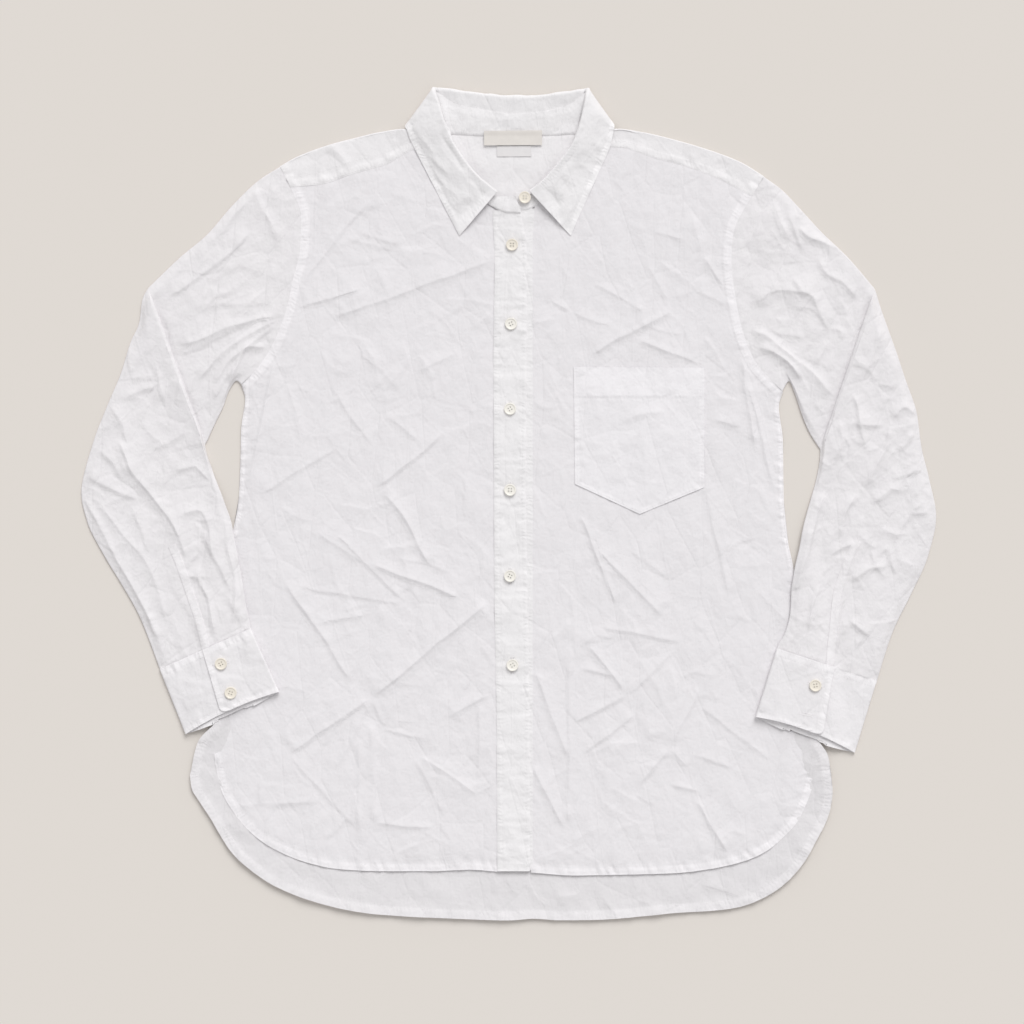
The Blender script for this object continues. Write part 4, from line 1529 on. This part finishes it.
class SHIRT_OT_collar(Maker):
    """Makes the collar: the stand round the neck and the turned-down fall"""

    bl_idname = "shirt.collar"
    bl_label = "Collar"

    def make(self, context):
        self.stand()
        self.fall()

    def stand(self):
        """The band that the collar stands on."""
        rows, columns = 20, 250
        table = smooth(STAND, np.linspace(0, 1, columns + 1))
        steps = np.linspace(0, 1, rows + 1)[:, None, None]
        behind = ease((142 - table[:, 1]) / 9)
        corner = np.minimum(*[np.hypot(table[:, 3] - x, table[:, 4] - y) for x, y in STAND_CORNERS])
        cap = STAND_BACK_TOP + (STAND_CORNER_TOP - STAND_BACK_TOP) * bell(corner, 9)
        table[:, 5] = table[:, 5] * (1 - behind) + np.minimum(table[:, 5], cap) * behind
        grid = table[None, :, :3] * (1 - steps) + table[None, :, 3:] * steps
        out = table[:, :2] - table[:, 3:5]
        out /= np.linalg.norm(out, axis=1)[:, None]
        grid = np.concatenate([np.column_stack([table[:, :2] + 1.1 * out, table[:, 2] - 1.0])[None], grid])
        rows += 1
        place = way_along(table[:, :3])[None, :]
        height = np.linspace(0, 1, rows + 1)[:, None]
        ripple = swell(place + 0 * height, 8 * height + 0 * place, 5, 161)
        x, y = across_down(grid)
        soft = 0.5 * facets(x, y, 19, 163) + 0.25 * facets(x, y, 9, 164)
        relief = 0.5 * ripple + 0.9 * soft * np.sin(math.pi * height)
        relief = relief * np.interp(height, (0, 0.15, 0.85, 1), (0.3, 1, 1, 0.2))
        grid = grid + face_of(grid) * relief[..., None]
        layers = 0.3 + 0.5 * ease((height - 0.72) / 0.06) + 0 * place
        x, y = across_down(grid)
        ticks = puckers(((1 - height) * 22, place, 7), (height * 22, place, 5))
        marks = marked(creases(SCATTER["right"], x - 150, y + 400, sharp=True), ticks)
        piece = shell("shirt_collar_stand", grid, BAND_WALL, cloth_finish("band"), layers, marks=marks)
        declare(["collar_stand"])
        sew(grid[2, 6:-6] + (0, 0, 0.05))

    def fall(self):
        """The leaf: seam to roll, round the roll and out to the edge, creased over flat at each side."""
        columns = 310
        given = np.array(FALL, float)
        at = way_along(given)
        at /= at[-1]
        starts = [self.profile(row, 4)[0] for row in given]
        seam, table = [through(rows, at, np.linspace(0, 1, columns + 1)) for rows in (np.array(starts), given)]
        turns, leaf, rise_rows = 9, 36, 9
        grid = np.stack([self.profile(row, turns, leaf) for row in table], axis=1)
        grid[0] = seam
        shares = np.linspace(0, 1, rise_rows + 1)[:-1, None, None]
        grid = np.concatenate([grid[:1] * (1 - shares) + grid[1:2] * shares, grid[1:]])
        turns += rise_rows - 1
        front = ease((table[:, 10] - 30) / 40)[None, :]
        down = np.zeros((grid.shape[0], 1))
        down[turns + 2:, 0] = np.linspace(0, 1, leaf + 1)[1:]
        rising = np.zeros((grid.shape[0], 1))
        rising[:turns - 1, 0] = np.sin(np.linspace(0.25, math.pi / 2, turns - 1))
        x, y = across_down(grid)
        from_edge = (1 - down) * np.linalg.norm(grid[-1] - grid[turns + 1], axis=1)[None, :]
        place, ends = way_along(grid[-1])[None, :], way_along(grid[turns + 1])[None, :]
        from_front = np.minimum(ends, ends[:, -1:] - ends)
        edge = np.minimum(from_edge, from_front + 0 * down)
        ripple = swell(place + ends, edge, 4.6, 171) * bell(edge - 5, 5)
        groove = bell(edge - LEAF_LINE, 0.9)
        bulge = 2.2 * np.sin(math.pi * np.clip(down, 0, 1) ** 0.8) * bell(down - 0.3, 0.5)
        close = 0.7 * facets(x, y, 16, 175) + 0.4 * facets(x, y, 8.5, 176)
        relief = 0.6 * crumple(x, y, 173) + close + 0.9 * ripple - 0.2 * groove + bulge * 0.4
        relief = relief + creases(CREASES_COLLAR, x, y)
        relief = relief * ease(down / 0.25) * front * ease(from_edge / 2.5 + 0.25)
        relief = relief + (0.8 * close + 0.4 * swell(x, 0.4 * y, 5, 177)) * rising * (1 - front)
        layers = np.broadcast_to(ease(6.2 - edge) * (down > 0.02), grid.shape[:2])
        folds = creases(CREASES_COLLAR + SCATTER["right"] + SCATTER["left"], x, y, sharp=True)
        from_seam = FAR + 0 * down
        from_seam[:turns - 1, 0] = np.linspace(0, 14, turns - 1)
        ticks = puckers((from_edge, place, 6.2), (from_front + 0 * down, 60 * down, 6.2),
                        (2 + 40 * down, place, 7), (from_seam, place, 6))
        ticks[..., 1] *= np.where(down > 0, np.where(from_edge + 0 * place < 12, 1.5, 0.8), 1.2)
        marks = marked(folds * (1, 0.9), ticks)
        grid = grid - face_of(grid) * relief[..., None]
        facing, layers, marks = turned_about(grid, layers, marks)
        piece = shell("shirt_collar_fall", facing, BAND_WALL, cloth_finish("band"), layers, marks=marks)
        declare(["collar_fall"])
        runs = np.flatnonzero(front[0] > 0.9)
        row = grid.shape[0] - 1 - round(LEAF_LINE / LEAF_LENGTH * leaf)
        for run in (runs[runs < columns // 2], runs[runs > columns // 2]):
            sew(grid[row, run[0] + 8:run[-1] - 2] if run[0] < 10 else grid[row, run[0] + 2:run[-1] - 8])
        for column in (9, columns - 9):
            sew(grid[turns + 6:row, column])

    def profile(self, row, turns, leaf=4):
        """One column of the leaf, from its seam over the roll to its edge."""
        x, y, top, seam_x, seam_y, seam_height, edge_x, edge_y, edge_height, radius, turn = row[:11]
        roll, edge = np.array((x, y)), np.array((edge_x, edge_y))
        straight = (edge - roll) / np.linalg.norm(edge - roll)
        facing_front = float(ease((turn + 2) / 24))
        inward = straight * facing_front + np.array((0.0, 1.0)) * (1 - facing_front)
        inward = inward / np.linalg.norm(inward)
        side = np.array((-inward[1], inward[0])) * math.copysign(1, BOARD[0] - x)
        tilt = math.radians(turn)
        facing = np.array((*(side * math.cos(tilt)), math.sin(tilt)))
        centre = np.array((*(roll + inward * radius), top - radius))
        back = np.array((*inward, 0.0))
        arc = [centre + radius * (facing * math.sin(angle) - back * math.cos(angle))
               for angle in np.linspace(-math.pi / 2, math.pi / 2, turns + 1)]
        if turn > 20 or turn == 0:
            start = arc[0] + back * 1.2 + np.array((0, 0, -0.3))
        else:
            start = np.array((seam_x, seam_y, seam_height))
        hang = 1 + 2 * (1 - facing_front)
        out = []
        for share in np.linspace(0, 1, leaf + 1)[1:]:
            point = arc[-1] * (1 - share) + np.array((*edge, edge_height)) * share
            point[2] = edge_height + (arc[-1][2] - edge_height) * (1 - share) ** hang
            out.append(point)
        return np.vstack([start, *arc, *out])


class SHIRT_OT_labels(Maker):
    """Makes the two blank labels inside the back of the neck"""

    bl_idname = "shirt.labels"
    bl_label = "Labels"

    def make(self, context):
        sizes = context.scene.shirt_buttons
        finishes = [tape("label_tape", sizes.label), tape("label_tape_small", sizes.small)]
        for finish, (name, corners) in zip(finishes, LABELS.items()):
            a, b, c, d = corners
            across, down = 48, 15
            flat = patch(evenly([a, d], down), evenly([b, c], down), evenly([a, b], across),
                         evenly([d, c], across))
            x, y = across_down(flat)
            rise = 4.5 if name == "label_main" else 3.3
            height = rise + 0.6 * ease((136.5 - y) / 5) + 0.14 * swell(x, y, 9, 181)
            height = height + 0.1 * facets(x, y, 7, 182)
            grid = with_height(flat, height)
            piece = laid_sheet(f"shirt_{name}", grid, LABEL_WALL, finish, np.zeros(height.shape))
            declare([name])


class SHIRT_OT_buttons(Maker):
    """Makes the four-hole buttons, one modelled and the others copied from it"""

    bl_idname = "shirt.buttons"
    bl_label = "Buttons"

    def make(self, context):
        sizes = context.scene.shirt_buttons
        first = self.model(sizes)
        finishes = [resin("button_pale", sizes.pale, [part * 1.06 for part in sizes.pale]),
                    resin("button_cream", sizes.dark, [part * 1.12 for part in sizes.dark])]
        for name, x, y, height, dark in BUTTONS:
            mesh = first.data.copy()
            mesh.materials.clear()
            mesh.materials.append(finishes[dark])
            copy = placed(f"shirt_{name}", mesh)
            tilt = 0.03 * math.sin(x + y)
            for vert in mesh.vertices:
                across, up, high = vert.co
                turned = Vector((across * math.cos(y) - up * math.sin(y),
                                 across * math.sin(y) + up * math.cos(y), high + tilt * across))
                vert.co = turned + Vector(((x - BOARD[0]) * MM, (BOARD[1] - y) * MM, (height + 0.15) * MM))
            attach(copy, "root")
            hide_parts(name)
        bpy.data.objects.remove(first, do_unlink=True)

    def model(self, sizes):
        """One button at the origin: a disc with a raised rim, a dished middle and four holes."""
        bpy.ops.object.select_all(action="DESELECT")
        bpy.ops.mesh.primitive_cylinder_add(vertices=40, radius=sizes.radius, depth=sizes.height * 0.8,
                                            location=(0, 0, sizes.height * 0.4))
        disc = bpy.context.object
        bpy.ops.object.mode_set(mode="EDIT")
        bpy.ops.mesh.select_all(action="DESELECT")
        bpy.ops.mesh.select_mode(type="FACE")
        bpy.ops.object.mode_set(mode="OBJECT")
        for face in disc.data.polygons:
            face.select = face.normal.z > 0.9
        bpy.ops.object.mode_set(mode="EDIT")
        bpy.ops.mesh.inset(thickness=sizes.radius * RIM)
        bpy.ops.mesh.inset(thickness=sizes.radius * RIM_SLOPE)
        bpy.ops.transform.translate(value=(0, 0, -sizes.height * DISH))
        bpy.ops.mesh.inset(thickness=sizes.radius * 0.3)
        bpy.ops.mesh.select_all(action="DESELECT")
        bpy.ops.object.mode_set(mode="OBJECT")
        bevel = disc.modifiers.new("soft edges", "BEVEL")
        bevel.width, bevel.segments, bevel.limit_method, bevel.angle_limit = 0.00045, 3, "ANGLE", 0.5
        bpy.ops.object.modifier_apply(modifier=bevel.name)
        reach = sizes.radius * DRILL_REACH
        for x in (-reach, reach):
            for y in (-reach, reach):
                bpy.ops.object.select_all(action="DESELECT")
                bpy.ops.mesh.primitive_cylinder_add(vertices=12, radius=sizes.radius * DRILL,
                                                    depth=sizes.height * 3, location=(x, y, sizes.height * 0.4))
                drill = bpy.context.object
                bpy.ops.object.select_all(action="DESELECT")
                disc.select_set(True)
                bpy.context.view_layer.objects.active = disc
                cut = disc.modifiers.new("hole", "BOOLEAN")
                cut.operation, cut.object, cut.solver = "DIFFERENCE", drill, "EXACT"
                bpy.ops.object.modifier_apply(modifier=cut.name)
                bpy.data.objects.remove(drill, do_unlink=True)
        bpy.ops.object.transform_apply(location=True, rotation=True, scale=True)
        bpy.ops.object.shade_smooth_by_angle(angle=0.6)
        return disc


class SHIRT_OT_stitches(Maker):
    """Makes the rows of stitches and the buttonholes' edges"""

    bl_idname = "shirt.stitches"
    bl_label = "Stitches"

    def make(self, context):
        piece = stitched_piece("shirt_stitches", cloth_finish("band"))


class SHIRT_OT_stage(Maker):
    """Makes the floor, the soft light and the camera"""

    bl_idname = "shirt.stage"
    bl_label = "Stage"

    def make(self, context):
        stage = context.scene.shirt_stage
        bpy.ops.object.select_all(action="DESELECT")
        bpy.ops.mesh.primitive_plane_add(size=9, location=(0, 0, -0.0002))
        floor = bpy.context.object
        floor.name = "floor"
        bpy.ops.object.transform_apply(location=True, rotation=True, scale=True)
        floor.data.materials.append(flat_colour("floor_paper", stage.floor))
        light = bpy.data.lights.new("window", "SUN")
        light.energy, light.angle = stage.sun, stage.softness
        placed("window", light).rotation_euler = (stage.height - math.pi / 2, 0, stage.turn)
        world = bpy.data.worlds.new("fill")
        world.use_nodes = True
        sky = world.node_tree.nodes["Background"]
        sky.inputs["Color"].default_value = (1, 1, 1, 1)
        sky.inputs["Strength"].default_value = stage.fill
        context.scene.world = world
        context.scene.view_settings.view_transform = "Standard"
        context.scene.view_settings.look = "None"
        camera = bpy.data.cameras.new("overhead")
        camera.lens, camera.sensor_width = 100, 36
        holder = placed("overhead", camera)
        distance = VIEW_WIDTH / 2 / (camera.sensor_width / 2 / camera.lens)
        holder.location = ((BOARD_VIEW[0] - BOARD[0]) * MM, (BOARD[1] - BOARD_VIEW[1]) * MM, distance + 0.003)
        context.scene.camera = holder


class SHIRT_PT_panel(Panel):
    """Lists the shirt's makers in the sidebar"""

    bl_label = "Shirt"
    bl_idname = "SHIRT_PT_panel"
    bl_space_type = "VIEW_3D"
    bl_region_type = "UI"
    bl_category = "Shirt"

    def draw(self, context):
        for group in ("shirt_cloth", "shirt_buttons", "shirt_stage"):
            settings = getattr(context.scene, group)
            for key in settings.__annotations__:
                self.layout.prop(settings, key)
        for maker in MAKERS:
            self.layout.operator(maker.bl_idname)


MAKERS = (
    SHIRT_OT_back, SHIRT_OT_yoke, SHIRT_OT_fronts, SHIRT_OT_bands, SHIRT_OT_pocket, SHIRT_OT_sleeves,
    SHIRT_OT_cuffs, SHIRT_OT_collar, SHIRT_OT_labels, SHIRT_OT_buttons, SHIRT_OT_stitches, SHIRT_OT_stage,
)
SETTINGS = {"shirt_cloth": ShirtCloth, "shirt_buttons": ShirtButtons, "shirt_stage": ShirtStage}


def register():
    for group in SETTINGS.values():
        bpy.utils.register_class(group)
    for name, group in SETTINGS.items():
        setattr(bpy.types.Scene, name, PointerProperty(type=group))
    for maker in MAKERS:
        bpy.utils.register_class(maker)
    bpy.utils.register_class(SHIRT_PT_panel)


def unregister():
    bpy.utils.unregister_class(SHIRT_PT_panel)
    for maker in reversed(MAKERS):
        bpy.utils.unregister_class(maker)
    for name, group in SETTINGS.items():
        delattr(bpy.types.Scene, name)
        bpy.utils.unregister_class(group)


def main():
    register()
    for maker in MAKERS:
        group, name = maker.bl_idname.split(".")
        getattr(getattr(bpy.ops, group), name)()


if __name__ == "__main__":
    main()
